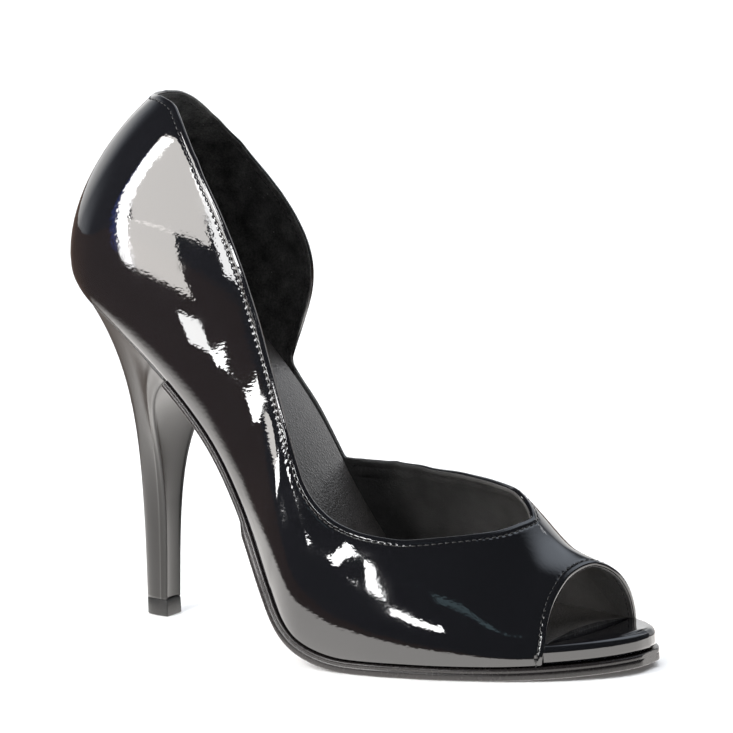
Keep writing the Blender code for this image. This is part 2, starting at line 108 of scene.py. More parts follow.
# spokes of the upper: share of the foot, lateral side negative, rib of the head, rho of the head
COLLAR = np.array([
    (-0.9125, -0.821, 0.362), (-0.868, -0.800, 0.479), (-0.830, -0.780, 0.527),
    (-0.790, -0.755, 0.567), (-0.750, -0.725, 0.595), (-0.705, -0.690, 0.605),
    (-0.670, -0.660, 0.604), (-0.642, -0.635, 0.600), (-0.615, -0.610, 0.589),
    (-0.590, -0.585, 0.578), (-0.560, -0.557, 0.571), (-0.510, -0.510, 0.580),
    (-0.470, -0.470, 0.591), (-0.430, -0.430, 0.600), (-0.390, -0.390, 0.597),
    (-0.350, -0.350, 0.581), (-0.310, -0.310, 0.553), (-0.270, -0.270, 0.517),
    (-0.235, -0.235, 0.483), (-0.200, -0.200, 0.449), (-0.165, -0.165, 0.419),
    (-0.140, -0.140, 0.398), (-0.118, -0.118, 0.382), (-0.095, -0.095, 0.368),
    (-0.071, -0.071, 0.356), (-0.050, -0.048, 0.346), (-0.028, -0.024, 0.358),
    (-0.009, -0.008, 0.396), (0.000, 0.000, 0.414), (0.006, 0.005, 0.436), (0.017, 0.015, 0.471),
    (0.033, 0.030, 0.513), (0.048, 0.045, 0.541), (0.068, 0.065, 0.567), (0.093, 0.090, 0.586),
    (0.122, 0.120, 0.601), (0.152, 0.150, 0.615), (0.183, 0.180, 0.633), (0.208, 0.205, 0.656),
    (0.228, 0.225, 0.687), (0.242, 0.239, 0.728), (0.250, 0.2465, 0.775), (0.256, 0.2500, 0.850),
    (0.261, 0.2515, 0.920), (0.266, 0.2550, 0.958), (0.272, 0.2640, 0.976), (0.284, 0.280, 0.980),
    (0.313, 0.311, 0.980), (0.350, 0.349, 0.980), (0.385, 0.385, 0.980), (0.405, 0.404, 0.978),
    (0.422, 0.420, 0.954), (0.442, 0.440, 0.916), (0.472, 0.470, 0.860), (0.502, 0.500, 0.803),
    (0.542, 0.540, 0.723), (0.583, 0.580, 0.641), (0.625, 0.620, 0.570), (0.670, 0.660, 0.512),
    (0.720, 0.700, 0.468), (0.770, 0.740, 0.413), (0.820, 0.768, 0.362), (0.870, 0.785, 0.314),
    (0.928, 0.798, 0.264)
])

# edge of the peep: share of the way, foot and head in plan
PEEP = np.array([
    (0.12, 0.7124, -0.199, 0.6277, -0.075), (0.24, 0.7091, -0.150, 0.6322, -0.050),
    (0.38, 0.7073, -0.095, 0.6360, -0.018), (0.50, 0.7083, -0.035, 0.6388, 0.015),
    (0.60, 0.7133, 0.020, 0.6398, 0.045), (0.70, 0.7215, 0.080, 0.6378, 0.075),
    (0.79, 0.7306, 0.135, 0.6322, 0.102), (0.87, 0.7382, 0.185, 0.6241, 0.124),
    (0.93, 0.7397, 0.235, 0.6155, 0.139), (0.97, 0.7362, 0.290, 0.6084, 0.147)
])


# %% Reading a table
def smooth(table, column, at):
    """Cubic through the rows whose slope at a row is the harmonic mean of its neighbours'."""
    place = table[:, 0]
    value = table[:, column]
    step = np.diff(place)
    slope = np.diff(value) / step
    same = slope[:-1] * slope[1:] > 0
    first = np.where(same, slope[:-1], 1.0)
    second = np.where(same, slope[1:], 1.0)
    near = 2 * step[1:] + step[:-1]
    far = step[1:] + 2 * step[:-1]
    bend = np.zeros(len(place))
    bend[1:-1] = np.where(same, (near + far) / (near / first + far / second), 0.0)
    bend[0] = slope[0]
    bend[-1] = slope[-1]
    at = np.clip(at, place[0], place[-1])
    row = np.clip(np.searchsorted(place, at, side="right") - 1, 0, len(place) - 2)
    t = (at - place[row]) / step[row]
    rise = t * t * (3 - 2 * t)
    return (value[row] * (1 - rise) + value[row + 1] * rise
            + t * (1 - t) ** 2 * step[row] * bend[row]
            - t * t * (1 - t) * step[row] * bend[row + 1])


def running(steps):
    """Running sum that starts at nought."""
    return np.concatenate([[0], np.cumsum(steps)])


def way_of(line):
    """Way along a line from its first point to each of its points."""
    return running(np.linalg.norm(np.diff(line, axis=0), axis=1))


# %% The bottom line and the outline
SHARE = 0.5 - 0.5 * np.cos(np.linspace(0, np.pi, 1601))
SLOPE = np.radians(smooth(BOTTOM_SLOPES, 1, SHARE))
RUN = np.diff(SHARE) * BOTTOM_LENGTH
MEAN_SLOPE = (SLOPE[1:] + SLOPE[:-1]) / 2
EDGE_X = SEAT_BACK_X + running(np.cos(MEAN_SLOPE) * RUN)
FALL = running(np.sin(MEAN_SLOPE) * RUN)
EDGE_Z = OUTSOLE_FORE + FIT_GAP + np.interp(TREAD_SHARE, SHARE, FALL) - FALL
MIDDLE, LATERAL, MEDIAL = [smooth(OUTLINE, column, SHARE) * BALL_WIDTH for column in (1, 2, 3)]
FAN_X = np.interp(FAN_SHARE, SHARE, EDGE_X)
FAN_Z = np.interp(FAN_SHARE, SHARE, EDGE_Z)
FAN_COUNT = np.searchsorted(SHARE, FAN_SHARE) + 1
FAN_EDGE = np.concatenate([np.arange(FAN_COUNT)[::-1], np.arange(1, FAN_COUNT)])
FAN_EDGE_Y = np.concatenate([-LATERAL[:FAN_COUNT][::-1], MEDIAL[1:FAN_COUNT]])
FAN_ANGLE = np.arctan2(FAN_EDGE_Y, FAN_X - EDGE_X[FAN_EDGE])
LATERAL_ARC = running(np.hypot(RUN, np.diff(LATERAL - MIDDLE)))
MEDIAL_ARC = running(np.hypot(RUN, np.diff(MEDIAL + MIDDLE)))
EDGE_SHARE = np.concatenate([-SHARE[:0:-1], SHARE])
EDGE_ARC = np.concatenate([-LATERAL_ARC[:0:-1], MEDIAL_ARC])
print("seat %.1f mm high, toe %.1f mm ahead" % (EDGE_Z[0] / MM, EDGE_X[-1] / MM))


def bottom_point(share, y, height):
    """Point on the bottom line at a share of its length, y across and a height square off it."""
    slope = np.interp(share, SHARE, SLOPE)
    x = np.interp(share, SHARE, EDGE_X) + np.sin(slope) * height
    z = np.interp(share, SHARE, EDGE_Z) + np.cos(slope) * height
    return np.stack([x, y + 0 * x, z], -1)


def edge_y(share, side):
    """Middle line plus the half width of that side."""
    half = np.where(side < 0, np.interp(share, SHARE, LATERAL), np.interp(share, SHARE, MEDIAL))
    return np.interp(share, SHARE, MIDDLE) + side * half


# %% The last as one surface
def last_point(chart_x, chart_y):
    """Superellipse ribs: rho is 1 on the edge and 0 on the ridge, the turn grows as a power of
    1 - rho, width follows its cosine and height its sine. Behind FAN_X the ribs fan round."""
    share_front = np.interp(chart_x, EDGE_X, SHARE)
    middle = np.interp(share_front, SHARE, MIDDLE)
    side = np.where(chart_y < middle, -1.0, 1.0)
    half = np.abs(edge_y(share_front, side) - middle)
    angle = np.arctan2(chart_y, FAN_X - chart_x)
    share_back = np.interp(angle, FAN_ANGLE, SHARE[FAN_EDGE])
    edge_x = np.interp(angle, FAN_ANGLE, EDGE_X[FAN_EDGE])
    edge_z = np.interp(angle, FAN_ANGLE, EDGE_Z[FAN_EDGE])
    edge_side = np.interp(angle, FAN_ANGLE, FAN_EDGE_Y)
    reach = np.hypot(edge_x - FAN_X, edge_side)
    front = chart_x >= FAN_X
    share = np.where(front, share_front, share_back)
    rho = np.where(front, np.abs(chart_y - middle) / np.maximum(half, 1e-6),
                   np.hypot(chart_x - FAN_X, chart_y) / reach)
    turn = np.pi / 2 * (1 - np.clip(rho, 0, 1)) ** (smooth(RIBS, 3, share) / 2)
    power = 2 / smooth(RIBS, 3, share)
    up = np.sin(turn) ** power
    bulge = smooth(RIBS, 4, share) * np.sin(np.pi * up ** BULGE_POWER)
    across = np.cos(turn) ** power * (1 + bulge)
    lean = np.radians(smooth(RIBS, 2, share))
    rise = smooth(RIBS, 1, share) * INSTEP_HEIGHT * up
    x = np.where(front, chart_x, FAN_X + (edge_x - FAN_X) * across) + np.sin(lean) * rise
    y = np.where(front, middle + side * half * across, edge_side * across)
    z = np.where(front, np.interp(share, SHARE, EDGE_Z), FAN_Z + (edge_z - FAN_Z) * across)
    return np.stack([x, y, z + np.cos(lean) * rise], -1)


def unit(vectors):
    """Each vector over its own length."""
    return vectors / np.maximum(np.linalg.norm(vectors, axis=-1, keepdims=True), 1e-12)


def last_normal(chart_x, chart_y, reach=0.0002):
    """Cross product of two small steps on the last, taken a hair inside the edge."""
    towards_x = FAN_X + (chart_x - FAN_X) * 0.998
    towards_y = chart_y * 0.998
    ahead = last_point(towards_x + reach, towards_y) - last_point(towards_x - reach, towards_y)
    aside = last_point(towards_x, towards_y + reach) - last_point(towards_x, towards_y - reach)
    return unit(np.cross(ahead, aside))


def plan_place(signed_share, rho):
    """Place in plan on a rib: rho times the way from the middle, or from the fan, to the edge."""
    share = np.abs(signed_share)
    x = np.interp(share, SHARE, EDGE_X)
    edge = edge_y(share, np.where(signed_share < 0, -1.0, 1.0))
    middle = np.interp(share, SHARE, MIDDLE)
    front = share >= FAN_SHARE
    return (np.where(front, x, FAN_X + (x - FAN_X) * rho),
            np.where(front, middle + (edge - middle) * rho, edge * rho))


# %% The spokes of the upper
def spoke_table():
    """Feet and heads of the spokes in plan against the way round the upper's outer border."""
    foot_x, foot_y = plan_place(COLLAR[:, 0], 1.0)
    head_x, head_y = plan_place(COLLAR[:, 1], COLLAR[:, 2])
    arc = np.interp(COLLAR[:, 0], EDGE_SHARE, EDGE_ARC)
    across = PEEP[::-1]
    peep = np.stack([arc[-1] + (1 - across[:, 0]) * PEEP_LENGTH,
                     SEAT_BACK_X + across[:, 1] * BOTTOM_LENGTH, across[:, 2] * BALL_WIDTH,
                     SEAT_BACK_X + across[:, 3] * BOTTOM_LENGTH, across[:, 4] * BALL_WIDTH], -1)
    rows = np.concatenate([np.stack([arc, foot_x, foot_y, head_x, head_y], -1), peep])
    whole = arc[-1] + PEEP_LENGTH - arc[0]
    before = rows[-6:] - np.array([whole, 0, 0, 0, 0])
    after = rows[:6] + np.array([whole, 0, 0, 0, 0])
    return np.concatenate([before, rows, after]), arc[0], arc[-1], whole


ALONG_EDGE = 1150
ALONG_PEEP = 190
TABLE, ARC_START, ARC_CORNER, ARC_WHOLE = spoke_table()
edge_arc = np.linspace(ARC_START, ARC_CORNER, ALONG_EDGE + 1)
peep_arc = np.linspace(ARC_CORNER, ARC_START + ARC_WHOLE, ALONG_PEEP + 1)[1:-1]
spoke_share = np.interp(edge_arc, EDGE_ARC, EDGE_SHARE)
spoke_share[0] = COLLAR[0, 0]
spoke_share[-1] = COLLAR[-1, 0]
foot_x, foot_y = plan_place(spoke_share, 1.0)
PEEP_ROWS_ONLY = TABLE[-len(PEEP) - 7:-5]
foot_x = np.concatenate([foot_x, smooth(PEEP_ROWS_ONLY, 1, peep_arc)])
foot_y = np.concatenate([foot_y, smooth(PEEP_ROWS_ONLY, 2, peep_arc)])
spoke_arc = np.concatenate([edge_arc, peep_arc])
head_x = smooth(TABLE, 3, spoke_arc)
head_y = smooth(TABLE, 4, spoke_arc)
FOOT = np.stack([foot_x, foot_y], -1)
HEAD = np.stack([head_x, head_y], -1)
ON_PEEP = np.concatenate([np.zeros(ALONG_EDGE + 1), np.ones(ALONG_PEEP - 1)])
EASE_BEFORE = 58
EASE_AFTER = 64


def eased(line):
    """Replaces the stretch round the first spoke by one cubic with the ends' own directions."""
    index = np.arange(-EASE_BEFORE, EASE_AFTER + 1) % len(line)
    part = line[index]
    way = way_of(part)
    t = (way / way[-1])[:, None]
    first = unit(line[index[0]] - line[index[0] - 8]) * way[-1]
    last = unit(line[index[-1] + 8] - line[index[-1]]) * way[-1]
    done = line.copy()
    done[index] = ((2 * t ** 3 - 3 * t ** 2 + 1) * part[0] + (t ** 3 - 2 * t ** 2 + t) * first
                   + (3 * t ** 2 - 2 * t ** 3) * part[-1] + (t ** 3 - t ** 2) * last)
    return done


HEAD = eased(HEAD)
SPOKE_SHARE = np.concatenate([spoke_share, np.full(ALONG_PEEP - 1, 1.0)])
print("spokes:", len(FOOT))


def on_spokes(foot, head, v):
    """Chart places a share v of the way along straight spokes from foot to head."""
    place = foot[:, None] * (1 - v[..., None]) + head[:, None] * v[..., None]
    return place[..., 0], place[..., 1]


def blur_round(values, times):
    """Each value becomes the mean of itself and its neighbours round a closed row, repeated."""
    for _ in range(times):
        values = (np.roll(values, 1, 0) + values * 2 + np.roll(values, -1, 0)) / 4
    return values


# %% [markdown]
# Near a folded edge the leather changes within tenths of a millimetre: it rolls over the edge
# and is drawn in along the stitches. Further off it is calm. So the rows of the grid are laid
# by their distance from the two borders, close together at the edges and wide in between. A
# subdivision surface could refine everything, but it would spend faces where nothing happens.

# %% Rows by their distance from the borders
FINE_ROWS = np.array([0.0, 0.15, 0.35, 0.6, 0.9, 1.2, 1.45, 1.65, 1.8, 1.95, 2.1, 2.25, 2.45,
                      2.75, 3.2, 3.9, 5.0]) * MM
MIDDLE_ROWS = 16
DENSE = 121


def lay_rows(foot, head, fine, middle_rows):
    """Shares v along each spoke whose distances on the last from the head, then from the foot,
    are those of the fine rows, with even rows between. Short spokes shrink the fine rows."""
    v = np.broadcast_to(np.linspace(0, 1, DENSE), (len(foot), DENSE))
    points = last_point(*on_spokes(foot, head, v))
    length = np.concatenate([np.zeros((len(foot), 1)), np.cumsum(
        np.linalg.norm(np.diff(points, axis=1), axis=-1), axis=1)], axis=1)
    total = length[:, -1:]
    shrink = np.minimum(1.0, total / (2.6 * fine[-1]))
    spread = np.linspace(0, 1, middle_rows + 2)[1:-1]
    low = fine * shrink
    between = fine[-1] * shrink + (total - 2 * fine[-1] * shrink) * spread
    wanted = np.concatenate([low, between, total - low[:, ::-1]], axis=1)
    index = np.clip((length[:, :, None] <= wanted[:, None, :]).sum(1) - 1, 0, DENSE - 2)
    start = np.take_along_axis(length, index, 1)
    end = np.take_along_axis(length, index + 1, 1)
    part = np.clip((wanted - start) / np.maximum(end - start, 1e-9), 0, 1)
    return (index + part) / (DENSE - 1), wanted, total[:, 0]


ROW_V, ROW_FROM_FOOT, SPOKE_LENGTH = lay_rows(FOOT, HEAD, FINE_ROWS, MIDDLE_ROWS)
ROWS = ROW_V.shape[1]
CHART = on_spokes(FOOT, HEAD, ROW_V)
SURFACE = last_point(*CHART)
NORMAL = last_normal(*CHART)
print("rows:", ROWS, "shortest spoke %.1f mm" % (SPOKE_LENGTH.min() / MM))


def nearest_on(line, points, window):
    """Distance and index of the nearest point of a closed line, looked for within a window of
    the point's own spoke."""
    best = np.full(points.shape[:2], 1e9)
    where = np.zeros(points.shape[:2], int)
    own = np.arange(len(line))
    for shift in range(-window, window + 1):
        index = (own + shift) % len(line)
        gap = np.linalg.norm(points - line[index][:, None], axis=-1)
        closer = gap < best
        best = np.where(closer, gap, best)
        where = np.where(closer, index[:, None], where)
    return best, where


HEAD_LINE = SURFACE[:, -1]
FOOT_LINE = SURFACE[:, 0]
FROM_HEAD, HEAD_INDEX = nearest_on(HEAD_LINE, SURFACE, 36)
peep_line = np.concatenate([FOOT_LINE[ALONG_EDGE:], FOOT_LINE[:1]])
front = np.abs(CHART[0][:, 0] - peep_line[:, 0].mean()) < 0.060
near_front = SURFACE[front]
gap = np.linalg.norm(near_front[:, :, None, :] - peep_line[None, None, ::2], axis=-1)
FROM_PEEP = np.full(SURFACE.shape[:2], 1.0)
PEEP_INDEX = np.zeros(SURFACE.shape[:2], int)
FROM_PEEP[front] = gap.min(-1)
PEEP_INDEX[front] = gap.argmin(-1) * 2
print("rows near the peep:", int(front.sum()))


# %% Putting a grid into a mesh
def new_piece(name, points, quads, material):
    """Points and quads as arrays go into a mesh with foreach_set."""
    mesh = bpy.data.meshes.new(name)
    mesh.vertices.add(len(points))
    mesh.vertices.foreach_set("co", np.ascontiguousarray(points, np.float32).ravel())
    mesh.loops.add(quads.size)
    mesh.loops.foreach_set("vertex_index", quads.ravel().astype(np.int32))
    mesh.polygons.add(len(quads))
    mesh.polygons.foreach_set("loop_start", np.arange(len(quads), dtype=np.int32) * 4)
    mesh.polygons.foreach_set("use_smooth", np.ones(len(quads), bool))
    mesh.update(calc_edges=True)
    mesh.validate()
    mesh.materials.append(material)
    piece = bpy.data.objects.new(name, mesh)
    bpy.context.scene.collection.objects.link(piece)
    return piece


DOUBLE = 0.002 * MM
DEGENERATE = 0.0005 * MM


def close_up(piece):
    """Merges doubles, fills the slits that are left between a loop and a grid with as many
    sides as they have, and turns all faces outwards."""
    work = bmesh.new()
    work.from_mesh(piece.data)
    bmesh.ops.remove_doubles(work, verts=work.verts, dist=DOUBLE)
    bmesh.ops.dissolve_degenerate(work, edges=work.edges, dist=DEGENERATE)
    slits = [edge for edge in work.edges if len(edge.link_faces) == 1]
    filled = bmesh.ops.holes_fill(work, edges=slits, sides=0)["faces"]
    for face in filled:
        face.smooth = False
    bmesh.ops.triangulate(work, faces=filled)
    bmesh.ops.recalc_face_normals(work, faces=work.faces)
    open_edges = sum(1 for edge in work.edges if len(edge.link_faces) != 2)
    work.to_mesh(piece.data)
    work.free()
    print(piece.name, len(piece.data.polygons), "faces,", open_edges, "open edges")
    return piece


def tube_quads(first, rings, around, ring_closed=True, way_closed=False):
    """Quads between rings of points that follow each other; first is the first point."""
    rows = np.arange(rings if way_closed else rings - 1)
    cols = np.arange(around if ring_closed else around - 1)
    r, c = np.meshgrid(rows, cols, indexing="ij")
    r2 = (r + 1) % rings
    c2 = (c + 1) % around
    quads = np.stack([r * around + c, r * around + c2, r2 * around + c2, r2 * around + c], -1)
    return first + quads.reshape(-1, 4)


# %% [markdown]
# Patent leather is black leather under a thick clear varnish: a dark base with a mirror on
# top. The varnish lies over the grain, so the mirror is faintly dimpled, like orange peel, and
# the edge of every reflection frays. Two reliefs make that: a fine one about a millimetre
# across and a slow one of a few centimetres. Both are one node group, used by upper and heel.

# %% Node group: varnished relief
def new_group(name, inputs, outputs):
    """Empty shader node group with named sockets: (name, kind, value or None)."""
    group = bpy.data.node_groups.new(name, "ShaderNodeTree")
    for label, kind, value in inputs:
        socket = group.interface.new_socket(name=label, in_out="INPUT", socket_type=kind)
        if value is not None:
            socket.default_value = value
    for label, kind in outputs:
        group.interface.new_socket(name=label, in_out="OUTPUT", socket_type=kind)
    group.nodes.new("NodeGroupInput")
    group.nodes.new("NodeGroupOutput")
    return group


def node(tree, kind, values=None, links=None, **settings):
    """Adds a node, sets its properties and constant sockets, and links (socket: source)."""
    made = tree.nodes.new(kind)
    for key, value in settings.items():
        setattr(made, key, value)
    for key, value in (values or {}).items():
        made.inputs[key].default_value = value
    for key, source in (links or {}).items():
        tree.links.new(source, made.inputs[key])
    return made


def noise(tree, scale, detail, roughness=0.5):
    """Noise texture in the piece's own metres."""
    place = node(tree, "ShaderNodeTexCoord")
    return node(tree, "ShaderNodeTexNoise",
                {"Scale": scale, "Detail": detail, "Roughness": roughness},
                {"Vector": place.outputs["Object"]})


def combined(tree, operation, first, second):
    """Math node on two sockets."""
    return node(tree, "ShaderNodeMath", None, {0: first, 1: second},
                operation=operation).outputs[0]


def ranged(tree, value, low=0.0, high=1.0, to_low=0.0, to_high=1.0, kind="LINEAR"):
    """Map Range node: low and high become to_low and to_high."""
    return node(tree, "ShaderNodeMapRange",
                {"From Min": low, "From Max": high, "To Min": to_low, "To Max": to_high},
                {"Value": value}, interpolation_type=kind).outputs[0]


def on_vector(tree, operation, source, constant=None):
    """Vector Math node on a socket and a constant."""
    return node(tree, "ShaderNodeVectorMath", {1: constant} if constant else None, {0: source},
                operation=operation)


def mixed(tree, share, first, second):
    """Mix of two constant colours by a share."""
    made = node(tree, "ShaderNodeMix", None, {0: share}, data_type="RGBA")
    made.inputs[6].default_value = (*first, 1.0)
    made.inputs[7].default_value = (*second, 1.0)
    return made.outputs[2]


def dent(tree, shader, height, distance, strength=1.0):
    """Bump node from a height to the shader's normal."""
    bump = node(tree, "ShaderNodeBump", {"Strength": strength, "Distance": distance},
                {"Height": height})
    tree.links.new(bump.outputs["Normal"], shader.inputs["Normal"])


def varnish_group():
    """Height = fine noise x Fine + slow noise x Slow; Dust is a mask of faint smears."""
    group = new_group("varnished_relief", [
        ("Fine", "NodeSocketFloat", 1.0), ("Slow", "NodeSocketFloat", 1.0)],
        [("Height", "NodeSocketFloat"), ("Dust", "NodeSocketFloat")])
    start, end = group.nodes["Group Input"], group.nodes["Group Output"]
    place = node(group, "ShaderNodeTexCoord")
    stretch = node(group, "ShaderNodeMapping", {"Scale": (0.5, 1.0, 0.8)},
                   {"Vector": place.outputs["Object"]})
    fine = node(group, "ShaderNodeTexNoise", {"Scale": 1250.0, "Detail": 1.5, "Roughness": 0.5},
                {"Vector": stretch.outputs["Vector"]})
    slow = noise(group, 62.0, 1.0, 0.4)
    smear = noise(group, 45.0, 5.0, 0.6)
    a = combined(group, "MULTIPLY", fine.outputs[0], start.outputs["Fine"])
    b = combined(group, "MULTIPLY", slow.outputs[0], start.outputs["Slow"])
    group.links.new(combined(group, "ADD", a, b), end.inputs["Height"])
    group.links.new(ranged(group, smear.outputs[0], 0.52, 0.78), end.inputs["Dust"])
    return group


VARNISH = varnish_group()


def new_material(name, colour, roughness, **constants):
    """Material with a Principled shader whose constant sockets are set directly."""
    material = bpy.data.materials.new(name)
    material.use_nodes = True
    shader = material.node_tree.nodes["Principled BSDF"]
    shader.inputs["Base Color"].default_value = (*colour, 1.0)
    shader.inputs["Roughness"].default_value = roughness
    for key, value in constants.items():
        shader.inputs[key.replace("_", " ")].default_value = value
    material.diffuse_color = (*colour, 1.0)
    return material, material.node_tree, shader


def patent(name, fine, slow, distance, colour=(0.004, 0.004, 0.005), gloss=(0.035, 0.13),
           index=1.62):
    """Black varnished leather: one mirror on a dark base, dimpled by the varnished relief."""
    material, tree, shader = new_material(name, colour, gloss[0], IOR=index)
    relief = node(tree, "ShaderNodeGroup", {"Fine": fine, "Slow": slow}, node_tree=VARNISH)
    dent(tree, shader, relief.outputs["Height"], distance)
    rough = ranged(tree, relief.outputs["Dust"], to_low=gloss[0], to_high=gloss[1])
    tree.links.new(rough, shader.inputs["Roughness"])
    return material


PATENT = patent("patent_leather", 0.75, 2.2, 0.000022)
PATENT_HEEL = patent("patent_heel_cover", 0.5, 2.0, 0.000018, (0.018, 0.0175, 0.017),
                     (0.30, 0.36), 1.33)
PATENT_RIM = patent("patent_rim_cover", 0.5, 2.0, 0.000018)

# %% [markdown]
# The inside is lined. Round the heel the lining is turned nap side out, so that it grips: a
# dull velvety black with a few specks of dust. Further forward it is smooth fine-grained
# leather, and the sock on the insole is grained too and has been polished by handling.

# %% Node group: leather grain
def grain_group():
    """Height = pebbles from a Voronoi cell distance, plus pores from a noise; Tone is a slow
    variation of colour."""
    group = new_group("leather_grain", [
        ("Size", "NodeSocketFloat", 900.0), ("Pores", "NodeSocketFloat", 0.5)],
        [("Height", "NodeSocketFloat"), ("Tone", "NodeSocketFloat")])
    start, end = group.nodes["Group Input"], group.nodes["Group Output"]
    place = node(group, "ShaderNodeTexCoord")
    shift = on_vector(group, "MULTIPLY", noise(group, 240.0, 2.0).outputs["Color"],
                      (0.0022, 0.0022, 0.0022))
    bent = node(group, "ShaderNodeVectorMath", None,
                {0: place.outputs["Object"], 1: shift.outputs[0]}, operation="ADD")
    cells = node(group, "ShaderNodeTexVoronoi", None,
                 {"Vector": bent.outputs[0], "Scale": start.outputs["Size"]},
                 feature="DISTANCE_TO_EDGE")
    pebble = ranged(group, cells.outputs["Distance"], high=0.35)
    pores = combined(group, "MULTIPLY", noise(group, 2600.0, 2.0).outputs[0],
                     start.outputs["Pores"])
    group.links.new(combined(group, "ADD", pebble, pores), end.inputs["Height"])
    group.links.new(noise(group, 120.0, 3.0).outputs[0], end.inputs["Tone"])
    return group


GRAIN = grain_group()


def leather(name, dark, light, rough_low, rough_high, size, distance, **constants):
    """Grained leather: the tone mixes two colours and two roughnesses, the grain dents it."""
    material, tree, shader = new_material(name, dark, rough_low, **constants)
    relief = node(tree, "ShaderNodeGroup", {"Size": size}, node_tree=GRAIN)
    tone = relief.outputs["Tone"]
    tree.links.new(mixed(tree, tone, dark, light), shader.inputs["Base Color"])
    rough = ranged(tree, tone, to_low=rough_low, to_high=rough_high)
    tree.links.new(rough, shader.inputs["Roughness"])
    dent(tree, shader, relief.outputs["Height"], distance)
    return material


LINING = leather("smooth_lining", (0.036, 0.035, 0.034), (0.110, 0.107, 0.104), 0.24, 0.38,
                 950.0, 0.00006)
SOCK = leather("sock_leather", (0.032, 0.030, 0.029), (0.080, 0.075, 0.072), 0.26, 0.38,
               850.0, 0.00009)


def nap_material():
    """Velvety nap: rough black with a soft sheen, mottled, with rare pale specks of dust."""
    material, tree, shader = new_material(
        "napped_lining", (0.006, 0.006, 0.006), 0.95, Sheen_Weight=0.5, Sheen_Roughness=0.45,
        Sheen_Tint=(0.55, 0.55, 0.55, 1.0), Specular_IOR_Level=0.15)
    place = node(tree, "ShaderNodeTexCoord")
    fibre = noise(tree, 1500.0, 4.0, 0.7).outputs[0]
    blend = combined(tree, "MULTIPLY", fibre, noise(tree, 160.0, 3.0).outputs[0])
    tone = node(tree, "ShaderNodeValToRGB", None, {0: blend})
    tone.color_ramp.elements[0].position = 0.12
    tone.color_ramp.elements[0].color = (0.0025, 0.0025, 0.0025, 1.0)
    tone.color_ramp.elements[1].position = 0.45
    tone.color_ramp.elements[1].color = (0.080, 0.077, 0.074, 1.0)
    speck = node(tree, "ShaderNodeTexVoronoi", {"Scale": 210.0},
                 {"Vector": place.outputs["Object"]})
    dot = ranged(tree, speck.outputs["Distance"], 0.030, 0.060, 1.0, 0.0)
    dusty = node(tree, "ShaderNodeMix", None, {0: dot, 6: tone.outputs["Color"]},
                 data_type="RGBA")
    dusty.inputs[7].default_value = (0.16, 0.16, 0.15, 1.0)
    tree.links.new(dusty.outputs[2], shader.inputs["Base Color"])
    dent(tree, shader, fibre, 0.12 * MM, 0.8)
    return material


NAP = nap_material()


def plain(name, colour, roughness, scale, distance, **constants):
    """Moulded or spun matter: one colour, a noise that shifts its roughness and dents it."""
    material, tree, shader = new_material(name, colour, roughness, **constants)
    uneven = noise(tree, scale, 4.0).outputs[0]
    rough = ranged(tree, uneven, to_low=roughness - 0.10, to_high=roughness + 0.10)
    tree.links.new(rough, shader.inputs["Roughness"])
    dent(tree, shader, uneven, distance)
    return material


THREAD = plain("black_thread", (0.014, 0.014, 0.014), 0.40, 2500.0, 0.00003)
SOLE = plain("burnished_sole", (0.012, 0.010, 0.010), 0.26, 700.0, 0.000006,
             Specular_IOR_Level=0.35)
TIP = plain("hard_tip", (0.006, 0.006, 0.006), 0.55, 900.0, 0.00004,
            Specular_IOR_Level=0.35)
print("materials:", len(bpy.data.materials))

# %% [markdown]
# The upper is cut from patent leather, folded over at the topline and at the peep, and sewn
# down about two millimetres from the edge. Where the needle passes the leather is drawn in and
# puckers. All of this is relief on the last's surface: a shallow trough along the stitch line,
# deeper at each stitch, and a slightly raised roll between it and the edge.

# %% Relief along the stitches
STITCH_FROM_EDGE = 1.75 * MM
STITCH_PITCH = 2.05 * MM
TROUGH_DEPTH = 0.20 * MM
TROUGH_WIDTH = 0.42 * MM
ROLL_HEIGHT = 0.10 * MM
SEWN_FROM = 6.0 * MM


HEAD_WAY = way_of(HEAD_LINE)
PEEP_WAY = way_of(peep_line)
SEWN = blur_round(np.clip((SPOKE_LENGTH - SEWN_FROM) / (2 * MM), 0, 1), 6)


def stitch_relief(distance, way, sewn):
    """Trough as a bell curve round the stitch line, times one plus a cosine per stitch, and a
    roll as a half sine between the edge and the line."""
    bell = np.exp(-((distance - STITCH_FROM_EDGE) / TROUGH_WIDTH) ** 2)
    beat = 0.62 + 0.38 * np.cos(2 * np.pi * way / STITCH_PITCH)
    roll = np.sin(np.pi * np.clip(distance / STITCH_FROM_EDGE, 0, 1)) ** 2
    return sewn * (ROLL_HEIGHT * roll - TROUGH_DEPTH * bell * beat)


RELIEF = stitch_relief(FROM_HEAD, HEAD_WAY[HEAD_INDEX], SEWN[HEAD_INDEX])
RELIEF = RELIEF + stitch_relief(FROM_PEEP, PEEP_WAY[PEEP_INDEX], 1.0)

# %% [markdown]
# Troughs: the leather gives a little where the vamp will bend at the ball, and it
# was pulled in at the waist when it was lasted. Each is a soft valley along a short line.

# %% Creases
# start and end as share of the bottom line and rho (lateral side negative share), width, depth
CREASES = np.array([
    (-0.690, 0.98, -0.735, 0.66, 0.0046, 0.00006),
    (-0.735, 0.97, -0.775, 0.70, 0.0040, 0.00005),
    (-0.640, 0.97, -0.655, 0.66, 0.0050, 0.00014),
    (-0.575, 0.95, -0.585, 0.66, 0.0060, 0.00018),
    (0.700, 0.97, 0.735, 0.60, 0.0046, 0.00014),
    (0.640, 0.97, 0.660, 0.66, 0.0050, 0.00012)])


